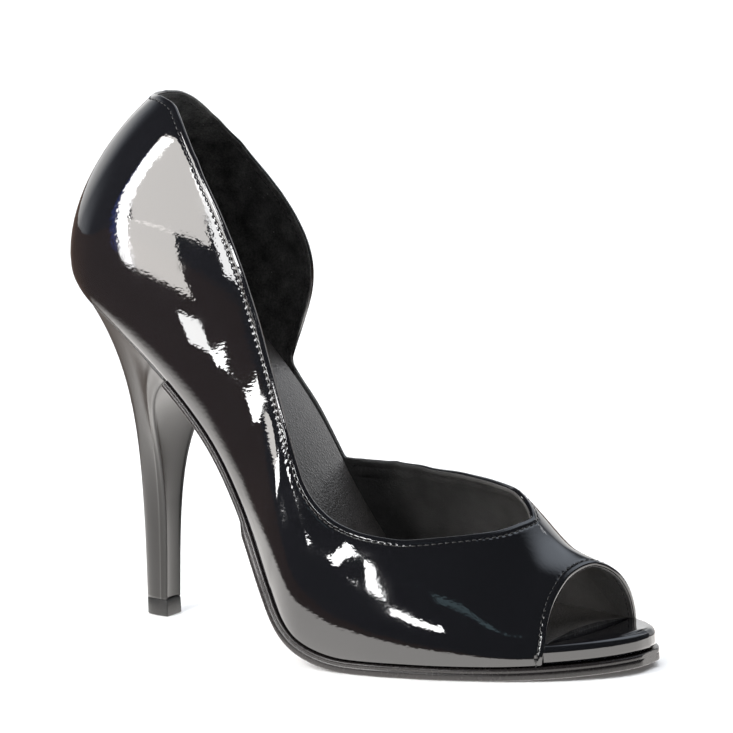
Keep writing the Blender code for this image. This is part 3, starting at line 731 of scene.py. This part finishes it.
def crease_relief(surface):
    """Valley: minus depth times a bell curve of the distance from a straight line in space."""
    relief = np.zeros(surface.shape[:2])
    for s0, r0, s1, r1, width, depth in CREASES:
        ends = [last_point(*[np.atleast_1d(c) for c in plan_place(np.array([s]), np.array([r]))])[0]
                for s, r in ((s0, r0), (s1, r1))]
        along = ends[1] - ends[0]
        t = np.clip(((surface - ends[0]) @ along) / (along @ along), -0.25, 1.25)
        gap = np.linalg.norm(surface - (ends[0] + t[..., None] * along), axis=-1)
        fade = np.clip(1 - np.abs(t - 0.5) / 0.75, 0, 1) ** 0.7
        relief -= depth * fade * np.exp(-(gap / width) ** 2)
    return relief


RELIEF = RELIEF + crease_relief(SURFACE)
print("relief from %.2f to %.2f mm" % (RELIEF.min() / MM, RELIEF.max() / MM))

# %% The borders of the shell
FEATHER_ROUND = 0.7 * MM
TUCK = 1.6 * MM
LEATHER = 0.95 * MM
PEEP_SHARE = blur_round(ON_PEEP, 10)
bend_in = FEATHER_ROUND - np.sqrt(np.maximum(
    FEATHER_ROUND ** 2 - np.clip(FEATHER_ROUND - ROW_FROM_FOOT, 0, None) ** 2, 0))
OUTER = SURFACE + NORMAL * (RELIEF - bend_in * (1 - PEEP_SHARE[:, None]))[..., None]
INWARD_HEAD = unit(SURFACE[:, -1] - SURFACE[:, -3])
INWARD_FOOT = unit(SURFACE[:, 0] - SURFACE[:, 2])


def lip_rows(pick, at_head, turns, lip=UPPER_LIP, scale=1.0):
    """Half ellipse round the folded head or foot of the picked spokes: half the wall across and
    lip out, by its turns in half turns."""
    column, outward = (-1, INWARD_HEAD) if at_head else (0, INWARD_FOOT)
    normal = NORMAL[pick, column]
    middle = SURFACE[pick, column] - normal * UPPER_WALL / 2
    a = np.pi * np.asarray(turns)[None, :, None]
    return (middle[:, None] + normal[:, None] * np.cos(a) * UPPER_WALL / 2 * scale
            + outward[pick][:, None] * np.sin(a) * lip * scale)


# %% The patent shell
def patent_shell():
    """One closed profile per spoke: outside, the fold at the head, the hidden side, and at the
    foot either the fold of the peep or the part tucked under between insole and outsole."""
    every = np.arange(len(FOOT))
    fold, end, end_scale = [0.12, 0.25, 0.38, 0.5, 0.6], [0.62, 0.55], 0.62
    head_fold = lip_rows(every, True, fold)
    head_end = lip_rows(every, True, end, scale=end_scale)
    rows = np.array([ROWS - 6, ROWS - 14, ROWS - 24, ROWS // 2, 20, 12, 5])
    hidden = SURFACE[:, rows] - NORMAL[:, rows] * LEATHER
    foot_fold = lip_rows(every, False, fold[::-1])
    foot_end = lip_rows(every, False, end[::-1], scale=end_scale)
    slope = np.interp(np.abs(SPOKE_SHARE), SHARE, SLOPE)
    down = np.stack([-np.sin(slope), 0 * slope, -np.cos(slope)], -1)
    in_plan = unit(np.stack([-NORMAL[:, 0, 0], -NORMAL[:, 0, 1], 0 * slope], -1))
    in_plan = unit(in_plan - (in_plan * down).sum(-1, keepdims=True) * down)
    base = OUTER[:, 0]
    tucked = np.stack([base + in_plan * TUCK * s - down * h * MM for s, h in
                       ((1.0, 0.30), (1.0, 0.05), (0.6, 0.0), (0.25, 0.0), (0.08, 0.0),
                        (0.03, 0.0), (0.01, 0.0))], 1)
    peep = np.concatenate([foot_end, foot_fold], axis=1)
    w = PEEP_SHARE[:, None, None]
    foot = peep * w + tucked * (1 - w)
    return np.concatenate([OUTER, head_fold, head_end, hidden, foot], axis=1)


def band_piece(name, rows, material):
    """Closed profiles that follow each other round a closed band."""
    spokes, around = rows.shape[:2]
    return new_piece(name, rows.reshape(-1, 3),
                     tube_quads(0, spokes, around, True, True)[:, ::-1], material)


upper_patent = close_up(band_piece("upper_patent", patent_shell(), PATENT))
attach(upper_patent, "root")
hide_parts("upper")

# %% [markdown]
# Inside, the lining starts just under the fold and runs down to the insole. It could be the
# shell's own inner face with another material, but a real lining is a piece of its own with a
# thin edge, and that edge is what shows as a fine line along the topline.

# %% The linings
NAP_LATERAL = -0.30
NAP_MEDIAL = 0.276
LINING_SOFT = 0.05 * MM
BAND_WIDTH = 4.8 * MM
BAND_RISE = 0.32 * MM
LINING_TURNS = [0.64, 0.70, 0.80, 0.92]
LINING_LIP = UPPER_LIP * 0.94


def lining_loops(first, last, banded):
    """Closed profiles of the lining for a run of spokes: edge under the fold, inner face down
    to the insole, and its hidden side up again."""
    pick = np.arange(first, last + 1) % len(FOOT)
    surface, normal = SURFACE[pick], NORMAL[pick]
    top = lip_rows(pick, True, LINING_TURNS, LINING_LIP)
    inner_cols = np.arange(ROWS - 2, 0, -1)
    relief = RELIEF[pick][:, inner_cols] * 0.55
    from_head = FROM_HEAD[pick][:, inner_cols]
    band = 1 / (1 + np.exp((from_head - BAND_WIDTH) / (0.22 * MM)))
    seam = np.exp(-((from_head - BAND_WIDTH - 0.5 * MM) / (0.35 * MM)) ** 2)
    long_enough = np.clip((SPOKE_LENGTH[pick] - 9 * MM) / (3 * MM), 0, 1)[:, None]
    relief = relief + (BAND_RISE * band - 0.5 * BAND_RISE * seam) * banded * long_enough
    inner = surface[:, inner_cols] - normal[:, inner_cols] * (UPPER_WALL + relief)[..., None]
    fold = PEEP_SHARE[pick][:, None, None]
    low = lip_rows(pick, False, LINING_TURNS[::-1], LINING_LIP)
    flat = (surface[:, :1] - normal[:, :1] * UPPER_WALL) + 0 * low
    flat = flat + normal[:, :1] * np.array([0.0, 0.1, 0.3, 0.6])[None, :, None] * MM
    bottom = low * fold + flat * (1 - fold)
    back_cols = np.array([3, 8, 14, ROWS // 2, ROWS - 15, ROWS - 9, ROWS - 4])
    back = surface[:, back_cols] - normal[:, back_cols] * (LEATHER + LINING_SOFT)
    return np.concatenate([top, inner, bottom, back], axis=1)


def strip_piece(name, rows, material):
    """Closed profiles that follow each other along an open strip, with its two ends closed."""
    spokes, around = rows.shape[:2]
    quads = tube_quads(0, spokes, around)
    out, back = np.arange(around // 2), around - 1 - np.arange(around // 2)
    cap = np.stack([out[:-1], out[1:], back[1:], back[:-1]], -1)
    ends = [cap[:, ::-1], cap + (spokes - 1) * around]
    return new_piece(name, rows.reshape(-1, 3), np.concatenate([quads] + ends)[:, ::-1], material)


edge_share = SPOKE_SHARE[:ALONG_EDGE + 1]
nap_first = int(np.searchsorted(edge_share, NAP_LATERAL))
nap_last = int(np.searchsorted(edge_share, NAP_MEDIAL))
counter_lining = close_up(strip_piece(
    "counter_lining", lining_loops(nap_first, nap_last, 0.0), NAP))
front_lining = close_up(strip_piece(
    "front_lining", lining_loops(nap_last + 1, nap_first - 1 + len(FOOT), 1.0), LINING))
for piece in (counter_lining, front_lining):
    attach(piece, "root")

# %% [markdown]
# The stitches are black thread, one every two millimetres, and each is a short arc that comes
# out of one hole and goes into the next. One small capsule with few faces is enough: it is
# placed along the stitch line by arrays, turned to the line and to the leather.

# %% One stitch
THREAD_RADIUS = 0.21 * MM
STITCH_LIFT = 0.02 * MM


def stitch_shape(length, radius, rings=7, around=6):
    """Capsule along x, bent down at its ends like a bow: points (rings, around, 3)."""
    t = np.linspace(-1, 1, rings)
    thick = radius * np.sqrt(np.maximum(1 - np.abs(t) ** 3.0, 0.03))
    bow = -0.9 * radius * t ** 2
    a = np.linspace(0, 2 * np.pi, around, endpoint=False)
    x = np.broadcast_to((t * length / 2)[:, None], (rings, around))
    y = thick[:, None] * np.cos(a)[None]
    z = bow[:, None] + 0.8 * thick[:, None] * np.sin(a)[None]
    return np.stack([x, y, z], -1)


def stitch_quads(rings=7, around=6):
    """Rings of quads, and each end closed by two quads."""
    quads = [tube_quads(0, rings, around)]
    for first in (0, (rings - 1) * around):
        cap = np.array([[0, 1, 2, 3], [0, 3, 4, 5]]) + first
        quads.append(cap[:, ::-1] if first == 0 else cap)
    return np.concatenate(quads)


def offset_in_plan(x, y, distance, times=4, step=0.0002):
    """Moves a line on the last sideways by a distance: the step in plan is solved from the two
    steps of the surface, a part of the distance at a time."""
    for _ in range(times):
        side = np.cross(unit(np.gradient(last_point(x, y), axis=0)), last_normal(x, y))
        by_x = (last_point(x + step, y) - last_point(x - step, y)) / (2 * step)
        by_y = (last_point(x, y + step) - last_point(x, y - step)) / (2 * step)
        want = side * distance / times
        a = (by_x * by_x).sum(-1)
        b = (by_x * by_y).sum(-1)
        c = (by_y * by_y).sum(-1)
        p = (by_x * want).sum(-1)
        q = (by_y * want).sum(-1)
        det = a * c - b * b
        x = x + (p * c - q * b) / det
        y = y + (q * a - p * b) / det
    return x, y


def resample(values, way, at):
    """Reads each column of a line at given distances along it."""
    return np.stack([np.interp(at, way, values[:, k]) for k in range(values.shape[1])], -1)


def stitch_row(points, normals, keep, closed):
    """Stitches evenly along a line of surface points; keep is 0 where nothing is sewn."""
    if closed:
        points = np.concatenate([points, points[:1]])
        normals = np.concatenate([normals, normals[:1]])
        keep = np.concatenate([keep, keep[:1]])
    way = way_of(points)
    count = int(round(way[-1] / STITCH_PITCH))
    at = (np.arange(count) + 0.5) * way[-1] / count
    middle = resample(points, way, at)
    tangent = unit(resample(points, way, at + 0.4 * MM) - resample(points, way, at - 0.4 * MM))
    normal = unit(resample(normals, way, at))
    wanted = np.interp(at, way, keep) > 0.6
    middle, tangent, normal = middle[wanted], tangent[wanted], normal[wanted]
    side = np.cross(normal, tangent)
    shape = stitch_shape(STITCH_PITCH * 0.74, THREAD_RADIUS)
    return (middle[:, None, None] + shape[None, ..., :1] * tangent[:, None, None]
            + shape[None, ..., 1:2] * side[:, None, None]
            + (shape[None, ..., 2:] + STITCH_LIFT) * normal[:, None, None])


def stitches_piece(name, rows):
    """All stitches of some rows as one mesh: the same few quads, shifted by each one's start."""
    points = np.concatenate([r.reshape(len(r), -1, 3) for r in rows])
    base = stitch_quads()
    quads = base[None] + (np.arange(len(points)) * points.shape[1])[:, None, None]
    print(name, len(points), "stitches")
    return new_piece(name, points.reshape(-1, 3), quads.reshape(-1, 4), THREAD)


# %% The rows of stitches
def pick_at(distance_rows, target, values):
    """Value on each spoke where its distance from a border reaches the target."""
    index = np.clip((distance_rows > target).sum(1) - 1, 0, distance_rows.shape[1] - 2)
    near = np.take_along_axis(distance_rows, index[:, None], 1)[:, 0]
    far = np.take_along_axis(distance_rows, index[:, None] + 1, 1)[:, 0]
    share = np.clip((near - target) / np.maximum(near - far, 1e-9), 0, 1)[:, None]
    rows = np.arange(len(values))
    return values[rows, index] * (1 - share) + values[rows, index + 1] * share


TOP_LINE = blur_round(pick_at(FROM_HEAD, STITCH_FROM_EDGE, SURFACE), 3)
TOP_NORMAL = unit(pick_at(FROM_HEAD, STITCH_FROM_EDGE, NORMAL))
PEEP_CHART_IN = offset_in_plan(
    *[np.concatenate([c[ALONG_EDGE:, 0], c[:1, 0]]) for c in CHART], STITCH_FROM_EDGE)
PEEP_SEAM = last_point(*PEEP_CHART_IN)
PEEP_NORMAL = last_normal(*PEEP_CHART_IN)


def both_rows(depth, side):
    """Stitches along the topline and the peep, at a depth in the leather, facing out or in."""
    return [stitch_row(TOP_LINE - TOP_NORMAL * depth, side * TOP_NORMAL, SEWN, True),
            stitch_row(PEEP_SEAM - PEEP_NORMAL * depth, side * PEEP_NORMAL,
                       np.ones(len(PEEP_SEAM)), False)]


topline_stitches = stitches_piece("topline_stitches", both_rows(0.0, 1))
lining_stitches = stitches_piece("lining_stitches", both_rows(UPPER_WALL, -1))
for piece in (topline_stitches, lining_stitches):
    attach(piece, "root")

# %% [markdown]
# Sock, rim and outsole are thin plates that follow the bottom line. Each is drawn by its rim:
# a loop that runs up one side and down the other, repeated at small insets and heights to round
# the edge, and closed by a grid across, which can be crowned or hollow.

# %% Plates that follow the bottom line
def plate_loops(lateral, medial, layers):
    """Loops of a plate: shares of the two sides, then for each layer (inset, height) functions
    of the share; the outline is moved square to itself by the inset. A plate that ends at the
    toe's tip has one point there."""
    share = np.concatenate([lateral, medial[::-1]])
    side = np.concatenate([-np.ones(len(lateral)), np.ones(len(medial))])
    along = share * BOTTOM_LENGTH
    across = edge_y(share, side)
    count = len(lateral)
    d_along = np.gradient(along)
    d_across = np.gradient(across)
    for end, near in ((0, 1), (count - 1, -1), (count, 1), (2 * count - 1, -1)):
        d_along[end] = (along[end + near] - along[end]) * near
        d_across[end] = (across[end + near] - across[end]) * near
    for _ in range(2):
        for values in (d_along, d_across):
            values[1:-1] = (values[:-2] + 2 * values[1:-1] + values[2:]) / 4
    length = np.hypot(d_along, d_across)
    loops = []
    for inset, height in layers:
        inner_along = along - inset(share) * d_across / length
        inner_across = across + inset(share) * d_along / length
        if lateral[-1] == 1.0:
            for values in (inner_along, inner_across):
                values[count - 1:count + 1] = values[count - 1:count + 1].mean()
        inner_share = inner_along / BOTTOM_LENGTH
        loops.append((inner_share, inner_across, height(inner_share)))
    return loops


def plate_mesh(name, lateral, medial, layers, material, across, crown=0.0):
    """Closed plate: bottom grid, rounded edge loops, top grid; crown lifts the middle of the
    top by one minus the square of the way across."""
    loops = plate_loops(lateral, medial, layers)
    rings = [bottom_point(s, y, h) for s, y, h in loops]
    count = len(lateral)
    around = 2 * count
    quads = [tube_quads(0, len(rings), around)]
    points = [np.concatenate(rings)]
    first = len(rings) * around
    t = np.linspace(0, 1, across)[None]
    for loop, lift, flip in ((loops[0], 0.0, True), (loops[-1], crown, False)):
        rows = np.stack(loop, -1)[:, None]
        grid = rows[:count] * (1 - t[..., None]) + rows[count:][::-1] * t[..., None]
        raised = grid[..., 2] + lift * (1 - (2 * t - 1) ** 2)
        points.append(bottom_point(grid[..., 0], grid[..., 1], raised).reshape(-1, 3))
        face = tube_quads(first, count, across, False, False)
        quads.append(face[:, ::-1] if flip else face)
        first += count * across
    return new_piece(name, np.concatenate(points), np.concatenate(quads), material)


def fixed(value):
    """A size that is the same all along the plate."""
    return lambda share: value + 0 * share


def insole_top(share):
    """Thickness of the insole: grows between half and four fifths of the length."""
    return INSOLE_HEEL + (INSOLE_TOE - INSOLE_HEEL) * np.clip((share - 0.50) / 0.30, 0, 1)


def stations(start, end, count):
    """Shares that crowd towards both ends, as a cosine does."""
    turn = (1 - np.cos(np.linspace(0, np.pi, count))) / 2
    return start + (end - start) * turn


def rounded_layers(inset, radius, low, high, steps=5):
    """Layers of an edge: a quarter circle at the bottom, the wall, a quarter circle at the top."""
    layers = []
    quarter = np.linspace(0, np.pi / 2, steps)
    for turns, level, up in ((quarter, low, radius), (quarter[::-1], high, -radius)):
        for a in turns:
            layers.append((lambda s, d=radius * (1 - np.sin(a)): inset(s) + d,
                           lambda s, level=level, r=up * (1 - np.cos(a)): level(s) + r))
    return layers


# %% The insole in its sock
SOCK_INSET = UPPER_WALL + 0.15 * MM
SOCK_ROUND = 1.1 * MM
SOCK_CROWN = 2.0 * MM
sock = plate_mesh(
    "insole_sock", stations(0.0035, 0.921, 150), stations(0.0035, 0.943, 150),
    rounded_layers(fixed(SOCK_INSET), SOCK_ROUND, fixed(0.02 * MM), insole_top), SOCK,
    across=40, crown=SOCK_CROWN)
close_up(sock)
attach(sock, "root")
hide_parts("insole")

# %% The rim of the open toe
RIM_START_LATERAL = 0.9150
RIM_START_MEDIAL = 0.9340
RIM_EDGE = 2.1 * MM
RIM_OUT = -0.1 * MM
RIM_CROWN = 0.5 * MM
RIM_TOP = RIM_HEIGHT - 0.3 * MM
rim = plate_mesh(
    "toe_rim_cover", stations(RIM_START_LATERAL, 1.0, 110), stations(RIM_START_MEDIAL, 1.0, 110),
    rounded_layers(fixed(RIM_OUT), RIM_EDGE, fixed(0.0), fixed(RIM_TOP), 9),
    PATENT_RIM, across=30, crown=RIM_CROWN)
close_up(rim)
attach(rim, "root")
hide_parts("toe_rim")


# %% The outsole with its two edge bands
def outsole_low(share):
    """Underside of the outsole: thin under the waist, thicker from the step forwards."""
    run = np.clip((share - OUTSOLE_STEP_AT) * BOTTOM_LENGTH / OUTSOLE_STEP_RUN, 0, 1)
    return -FIT_GAP - (OUTSOLE_SHANK + (OUTSOLE_FORE - OUTSOLE_SHANK) * run)


# how far out, how high between underside (0) and top (1)
SOLE_EDGE = np.array([
    (0.9, 0.00), (0.35, 0.03), (0.08, 0.09), (0.0, 0.18), (0.0, 0.34), (0.05, 0.48), (0.14, 0.56),
    (0.34, 0.60), (0.38, 0.63), (0.16, 0.67), (0.02, 0.73), (0.0, 0.80), (0.06, 0.88), (0.2, 0.94),
    (0.5, 0.985), (1.2, 1.00)])
sole_layers = [
    (lambda s, d=d: -OUTSOLE_OVERHANG + d * MM * 0.8 + 0 * s,
     lambda s, h=h: outsole_low(s) * (1 - h) - FIT_GAP * h * 0.4) for d, h in SOLE_EDGE]
sole_stations = stations(BREAST_SHARE + 0.0015, 1.0, 200)
outsole = plate_mesh("outsole_edge_and_tread", sole_stations, sole_stations, sole_layers, SOLE,
                     across=26)
close_up(outsole)
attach(outsole, "root")
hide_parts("outsole")

# %% [markdown]
# The heel is a moulded core under a cover of the same patent leather. The cover is wrapped from
# behind and ends just behind the breast, where a separate strip is let in: that joint is the
# fine line down each side. Every point of the tip's D runs up to its own point of the seat.

# %% The heel
HEEL_AROUND = 150
HEEL_RINGS = 110
SEAM_BEHIND_BREAST = 0.085
SEAM_DEPTH = -0.20 * MM
SEAM_WIDTH = 0.020
BREAST_HOLLOW = 0.9 * MM
BREAST_COLUMNS = 26
CORNER_ROUND = 0.18 * MM
SEAT_LIP = 0.30 * MM


def d_ring(turn, depth, width, z):
    """D shape: depth by a power of the cosine behind a flat front, width by one of the sine."""
    x = depth / 2 - depth * np.cos(turn) ** 0.75
    y = width / 2 * np.sign(turn) * np.abs(np.sin(turn)) ** 0.75
    return np.stack([x, y, z + 0 * x], -1)


def capped(rings):
    """Points of the rings with the middle of the first and of the last ring as poles."""
    poles = [np.repeat(ring.mean(0, keepdims=True), rings.shape[1], 0)
             for ring in (rings[0], rings[-1])]
    return np.concatenate([poles[0], rings.reshape(-1, 3), poles[1]])


def heel_rings():
    """Rings of the heel from the tip to the seat, each with its breast side added."""
    way = np.linspace(-1, 1, HEEL_AROUND)
    turn = way * np.pi / 2
    arc = np.interp(way, [-1, 1], [-np.interp(BREAST_SHARE, SHARE, LATERAL_ARC),
                                   np.interp(BREAST_SHARE, SHARE, MEDIAL_ARC)])
    share = np.interp(arc, EDGE_ARC, EDGE_SHARE)
    share[0] = -BREAST_SHARE
    share[-1] = BREAST_SHARE
    seat = bottom_point(np.abs(share), edge_y(np.abs(share), np.where(share < 0, -1.0, 1.0)),
                        -FIT_GAP * 0.3)
    foot = d_ring(turn, TIP_DEPTH, TIP_WIDTH, TIP_HEIGHT + 0.05 * MM)
    back = np.cos(turn) ** 2
    breast = np.clip((np.abs(way) - 0.70) / 0.29, 0, 1)
    breast = breast ** 2 * (3 - 2 * breast)
    f = np.linspace(0, 1, HEEL_RINGS)[:, None]
    lengthways = back * f ** HEEL_BACK_POWER + (1 - back) * f ** HEEL_SIDE_POWER
    forwards = HEEL_BREAST_LEAN * f + (1 - HEEL_BREAST_LEAN) * f ** HEEL_BREAST_POWER
    lengthways = lengthways * (1 - breast) + forwards * breast
    rings = np.stack([foot[:, 0] + (seat[:, 0] - foot[:, 0]) * lengthways,
                      foot[:, 1] + (seat[:, 1] - foot[:, 1]) * f ** HEEL_SIDE_POWER,
                      foot[:, 2] + (seat[:, 2] - foot[:, 2]) * f], -1)
    return rings, way, f


def heel_piece():
    """The side wrap with its seam, and the breast as a hollow strip between its two edges."""
    rings, way, f = heel_rings()
    out = unit(np.cross(np.gradient(rings, axis=1), np.gradient(rings, axis=0)))
    middle = rings.mean(axis=1, keepdims=True)
    out = out * np.sign(((rings - middle) * out).sum(-1, keepdims=True))
    seam = np.exp(-((1 - np.abs(way) - SEAM_BEHIND_BREAST) / SEAM_WIDTH) ** 2)
    lip = SEAT_LIP * np.exp(-((1 - f) / 0.016) ** 2)
    rings = rings + out * (lip - SEAM_DEPTH * seam[None])[..., None]
    corner = np.clip((1 - np.abs(way)) / 0.012, 0, 1)
    rings = rings - out * (CORNER_ROUND * (1 - corner) ** 2)[None, :, None]
    t = np.linspace(0, 1, BREAST_COLUMNS)[1:-1]
    left, right = rings[:, :1], rings[:, -1:]
    strip = right * (1 - t[None, :, None]) + left * t[None, :, None]
    hollow = np.sin(np.pi * t) ** 0.45 * BREAST_HOLLOW
    along = np.gradient(strip, axis=0)
    inward = unit(np.cross(along, left - right))
    inward = inward * np.sign(-inward[..., :1])
    size = np.clip(np.linalg.norm(left - right, axis=-1, keepdims=True) / (9 * MM), 0.4, 1)
    strip = strip + inward * hollow[None, :, None] * size
    full = np.concatenate([rings, strip], axis=1)
    return new_piece("heel_cover", capped(full), tube_quads(0, HEEL_RINGS + 2, full.shape[1]),
                     PATENT_HEEL)


heel = close_up(heel_piece())
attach(heel, "root")
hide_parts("heel")

# %% The tip
TIP_CHAMFER = 0.35 * MM


def tip_piece():
    """D-shaped block: rings with a small chamfer below and a fine groove under the heel."""
    turn = np.linspace(-1, 1, 120) * np.pi / 2
    levels = [(0.0, TIP_CHAMFER), (0.15 * MM, TIP_CHAMFER * 0.35), (TIP_CHAMFER, 0.0),
              (TIP_HEIGHT * 0.5, 0.02 * MM), (TIP_HEIGHT - 0.35 * MM, 0.05 * MM),
              (TIP_HEIGHT - 0.20 * MM, 0.20 * MM), (TIP_HEIGHT, 0.25 * MM)]
    rings = []
    t = np.linspace(0, 1, 22)[1:-1][:, None]
    for z, inset in levels:
        ring = d_ring(turn, TIP_DEPTH - 2 * inset, TIP_WIDTH - 2 * inset, z)
        rings.append(np.concatenate([ring, ring[-1] * (1 - t) + ring[0] * t]))
    rings = np.stack(rings)
    return new_piece("heel_top_piece", capped(rings),
                     tube_quads(0, len(levels) + 2, rings.shape[1]), TIP)


tip = close_up(tip_piece())
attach(tip, "root")
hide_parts("heel_tip")

# %% [markdown]
# The studio: a plain pale floor, so large that its end is never seen, a broad soft light from
# above that the varnish doesn't mirror, and soft boxes on the outer side that it does. Each box
# makes one patch of light. Those near the shoe are seen by its neighbouring parts from quite
# different sides, so each stays on its own part. The floor is pale for the camera. For mirror
# rays it glows as a painted reflection: a pale pool that darkens to dark brown further out, or
# the varnish would look grey all over. The room itself is dark in front and pale behind, which
# keeps the leather black.

# %% Floor
floor_mesh = bpy.data.meshes.new("floor")
FLOOR_HALF = 14
floor_mesh.from_pydata([(x * FLOOR_HALF, y * FLOOR_HALF, 0)
                        for x, y in ((-1, -1), (1, -1), (1, 1), (-1, 1))], [], [(0, 1, 2, 3)])
floor = bpy.data.objects.new("floor", floor_mesh)
bpy.context.scene.collection.objects.link(floor)
floor_material_painted_reflection, tree, shader = new_material("pale_floor_painted_reflection", (0.93, 0.93, 0.93), 0.9,
                                            Specular_IOR_Level=0.0)
place = node(tree, "ShaderNodeTexCoord")
along = on_vector(tree, "ADD", place.outputs["Object"], (-0.105, 0.02, 0.0))
squeeze = on_vector(tree, "MULTIPLY", along.outputs[0], (0.62, 1.0, 1.0))
away = on_vector(tree, "LENGTH", squeeze.outputs[0])
# Painted reflection: for mirror rays the floor glows, pale in an oval round the shoe and dark brown
# further out.
painted_pool_share = ranged(tree, away.outputs["Value"], 0.150, 0.200, kind="SMOOTHSTEP")
painted_pool_tint = mixed(tree, painted_pool_share, (1.0, 0.97, 0.94), (0.055, 0.038, 0.030))
# Emission seen only by mirror rays: the floor's painted reflection, glowing though it is no lamp.
mirrored = node(tree, "ShaderNodeEmission", {"Strength": 3.6}, {"Color": painted_pool_tint})
seen_by = node(tree, "ShaderNodeLightPath")
choice = node(tree, "ShaderNodeMixShader", None,
              {0: seen_by.outputs["Is Glossy Ray"], 1: shader.outputs[0],
               2: mirrored.outputs[0]})
tree.links.new(choice.outputs[0], tree.nodes["Material Output"].inputs["Surface"])
floor_mesh.materials.append(floor_material_painted_reflection)


# %% Lights
COUNTER = (0.02, -0.035, 0.125)
COUNTER_FOOT = (0.040, -0.033, 0.099)
WAIST = (0.059, -0.032, 0.082)
BALL = (0.115, -0.035, 0.030)
SEAT = (0.08, 0.0, 0.05)
WARM = (1.0, 0.965, 0.93)


def soft_box(name, aim, turn, rise, distance, glow, colour=(1, 1, 1), mirrored=True, roll=0):
    """Area light seen from a spot of the shoe between two azimuths and two elevations, in
    degrees, and rolled; its power is its radiance times pi times its area."""
    azimuth, elevation = np.radians([np.mean(turn), np.mean(rise)])
    aim = Vector(aim)
    place = aim + distance * Vector((np.sin(azimuth) * np.cos(elevation),
                                     -np.cos(azimuth) * np.cos(elevation), np.sin(elevation)))
    half = np.radians([np.ptp(turn) / 2 * np.cos(elevation), np.ptp(rise) / 2])
    width, height = 2 * distance * np.tan(half)
    light = bpy.data.lights.new(name, "AREA")
    light.shape = "RECTANGLE"
    light.size = width
    light.size_y = height
    light.energy = glow * np.pi * width * height
    light.color = colour
    box = bpy.data.objects.new(name, light)
    box.location = place
    turned = (place - aim).to_track_quat("Z", "Y").to_matrix()
    box.rotation_euler = (turned @ Matrix.Rotation(np.radians(roll), 3, "Z")).to_euler()
    box.visible_camera = False
    box.visible_glossy = mirrored
    bpy.context.scene.collection.objects.link(box)
    print(name, "%.2f x %.2f m" % (width, height))
    return light


top_light = soft_box("top_light", (0.1, 0.3, 0.0), (199, 201), (69, 71), 2.6, 1.0,
                     mirrored=False)
top_light.size = top_light.size_y = 5.0
top_light.energy = 135.0
soft_box("counter_box", COUNTER, (-35.5, -8), (6, 42), 0.26, 9.5, WARM)
soft_box("counter_box_low", COUNTER, (-36.5, -21), (-9.5, 6.3), 0.26, 9.5, WARM)
soft_box("counter_box_rim", COUNTER, (-38, -34), (-9, 40), 0.26, 20, roll=-7)
soft_box("counter_box_edge", COUNTER, (-9, 3), (1, 34), 0.26, 15, roll=8)
soft_box("counter_box_blue", COUNTER, (-40, -38), (-6, 38), 0.26, 1.0, (0.12, 0.2, 1.0), roll=-7)
soft_box("counter_box_foot", COUNTER_FOOT, (-35, -24.5), (-16, -6), 0.08, 15)
soft_box("waist_box", WAIST, (-33.5, -17), (-8, -2), 0.13, 24, roll=25)
soft_box("ball_box", BALL, (-6, 0.5), (21, 33), 1.5, 26)
soft_box("tread_box", BALL, (1.5, 11), (14.5, 18.5), 1.5, 24)
soft_box("streak_box", BALL, (12, 28), (32, 35), 1.5, 0.8, (0.6, 0.9, 1.0))
soft_box("sock_box", SEAT, (151, 154.5), (8, 40), 1.2, 3.0)

# %% Room
world = bpy.data.worlds.new("room")
bpy.context.scene.world = world
world.use_nodes = True
tree = world.node_tree
background = tree.nodes["Background"]
place = node(tree, "ShaderNodeTexCoord")
split = node(tree, "ShaderNodeSeparateXYZ", None, {0: place.outputs["Generated"]})
towards = [on_vector(tree, "DOT_PRODUCT", place.outputs["Generated"], way).outputs["Value"]
           for way in ((-0.56, 0.83, 0.0), (0.129, 0.483, 0.866))]
behind = ranged(tree, towards[0], 0.15, 0.75, kind="SMOOTHSTEP")
low = ranged(tree, split.outputs["Z"], 0.20, 0.75, 1.0, 0.0, "SMOOTHSTEP")
both = combined(tree, "MULTIPLY", behind, low)
level = ranged(tree, both, to_low=0.09, to_high=1.4)
over = ranged(tree, towards[1], 0.88, 0.99, to_high=1.7, kind="SMOOTHSTEP")
tree.links.new(combined(tree, "ADD", level, over), background.inputs["Strength"])
tone = mixed(tree, both, (0.88, 0.96, 1.08), (1.0, 1.0, 1.0))
tree.links.new(tone, background.inputs["Color"])

# %% Camera at the photograph's angle
CAMERA_PLACE = (0.93364, -1.25477, 0.36760)
CAMERA_RIGHT = (0.82971, 0.55749, -0.02801)
CAMERA_UP = (-0.07890, 0.16682, 0.98283)
CAMERA_BACK = (0.55259, -0.81325, 0.18240)
FOCAL_PIXELS = 5048.6
FRAME_PIXELS = 733
camera_data = bpy.data.cameras.new("camera")
camera_data.sensor_width = 36
camera_data.lens = FOCAL_PIXELS / FRAME_PIXELS * camera_data.sensor_width
camera_data.clip_end = 60
camera = bpy.data.objects.new("camera", camera_data)
camera.matrix_world = Matrix([
    [CAMERA_RIGHT[i], CAMERA_UP[i], CAMERA_BACK[i], CAMERA_PLACE[i]] for i in range(3)]
    + [[0, 0, 0, 1]])
bpy.context.scene.collection.objects.link(camera)
bpy.context.scene.camera = camera
bpy.context.scene.view_settings.view_transform = "Standard"
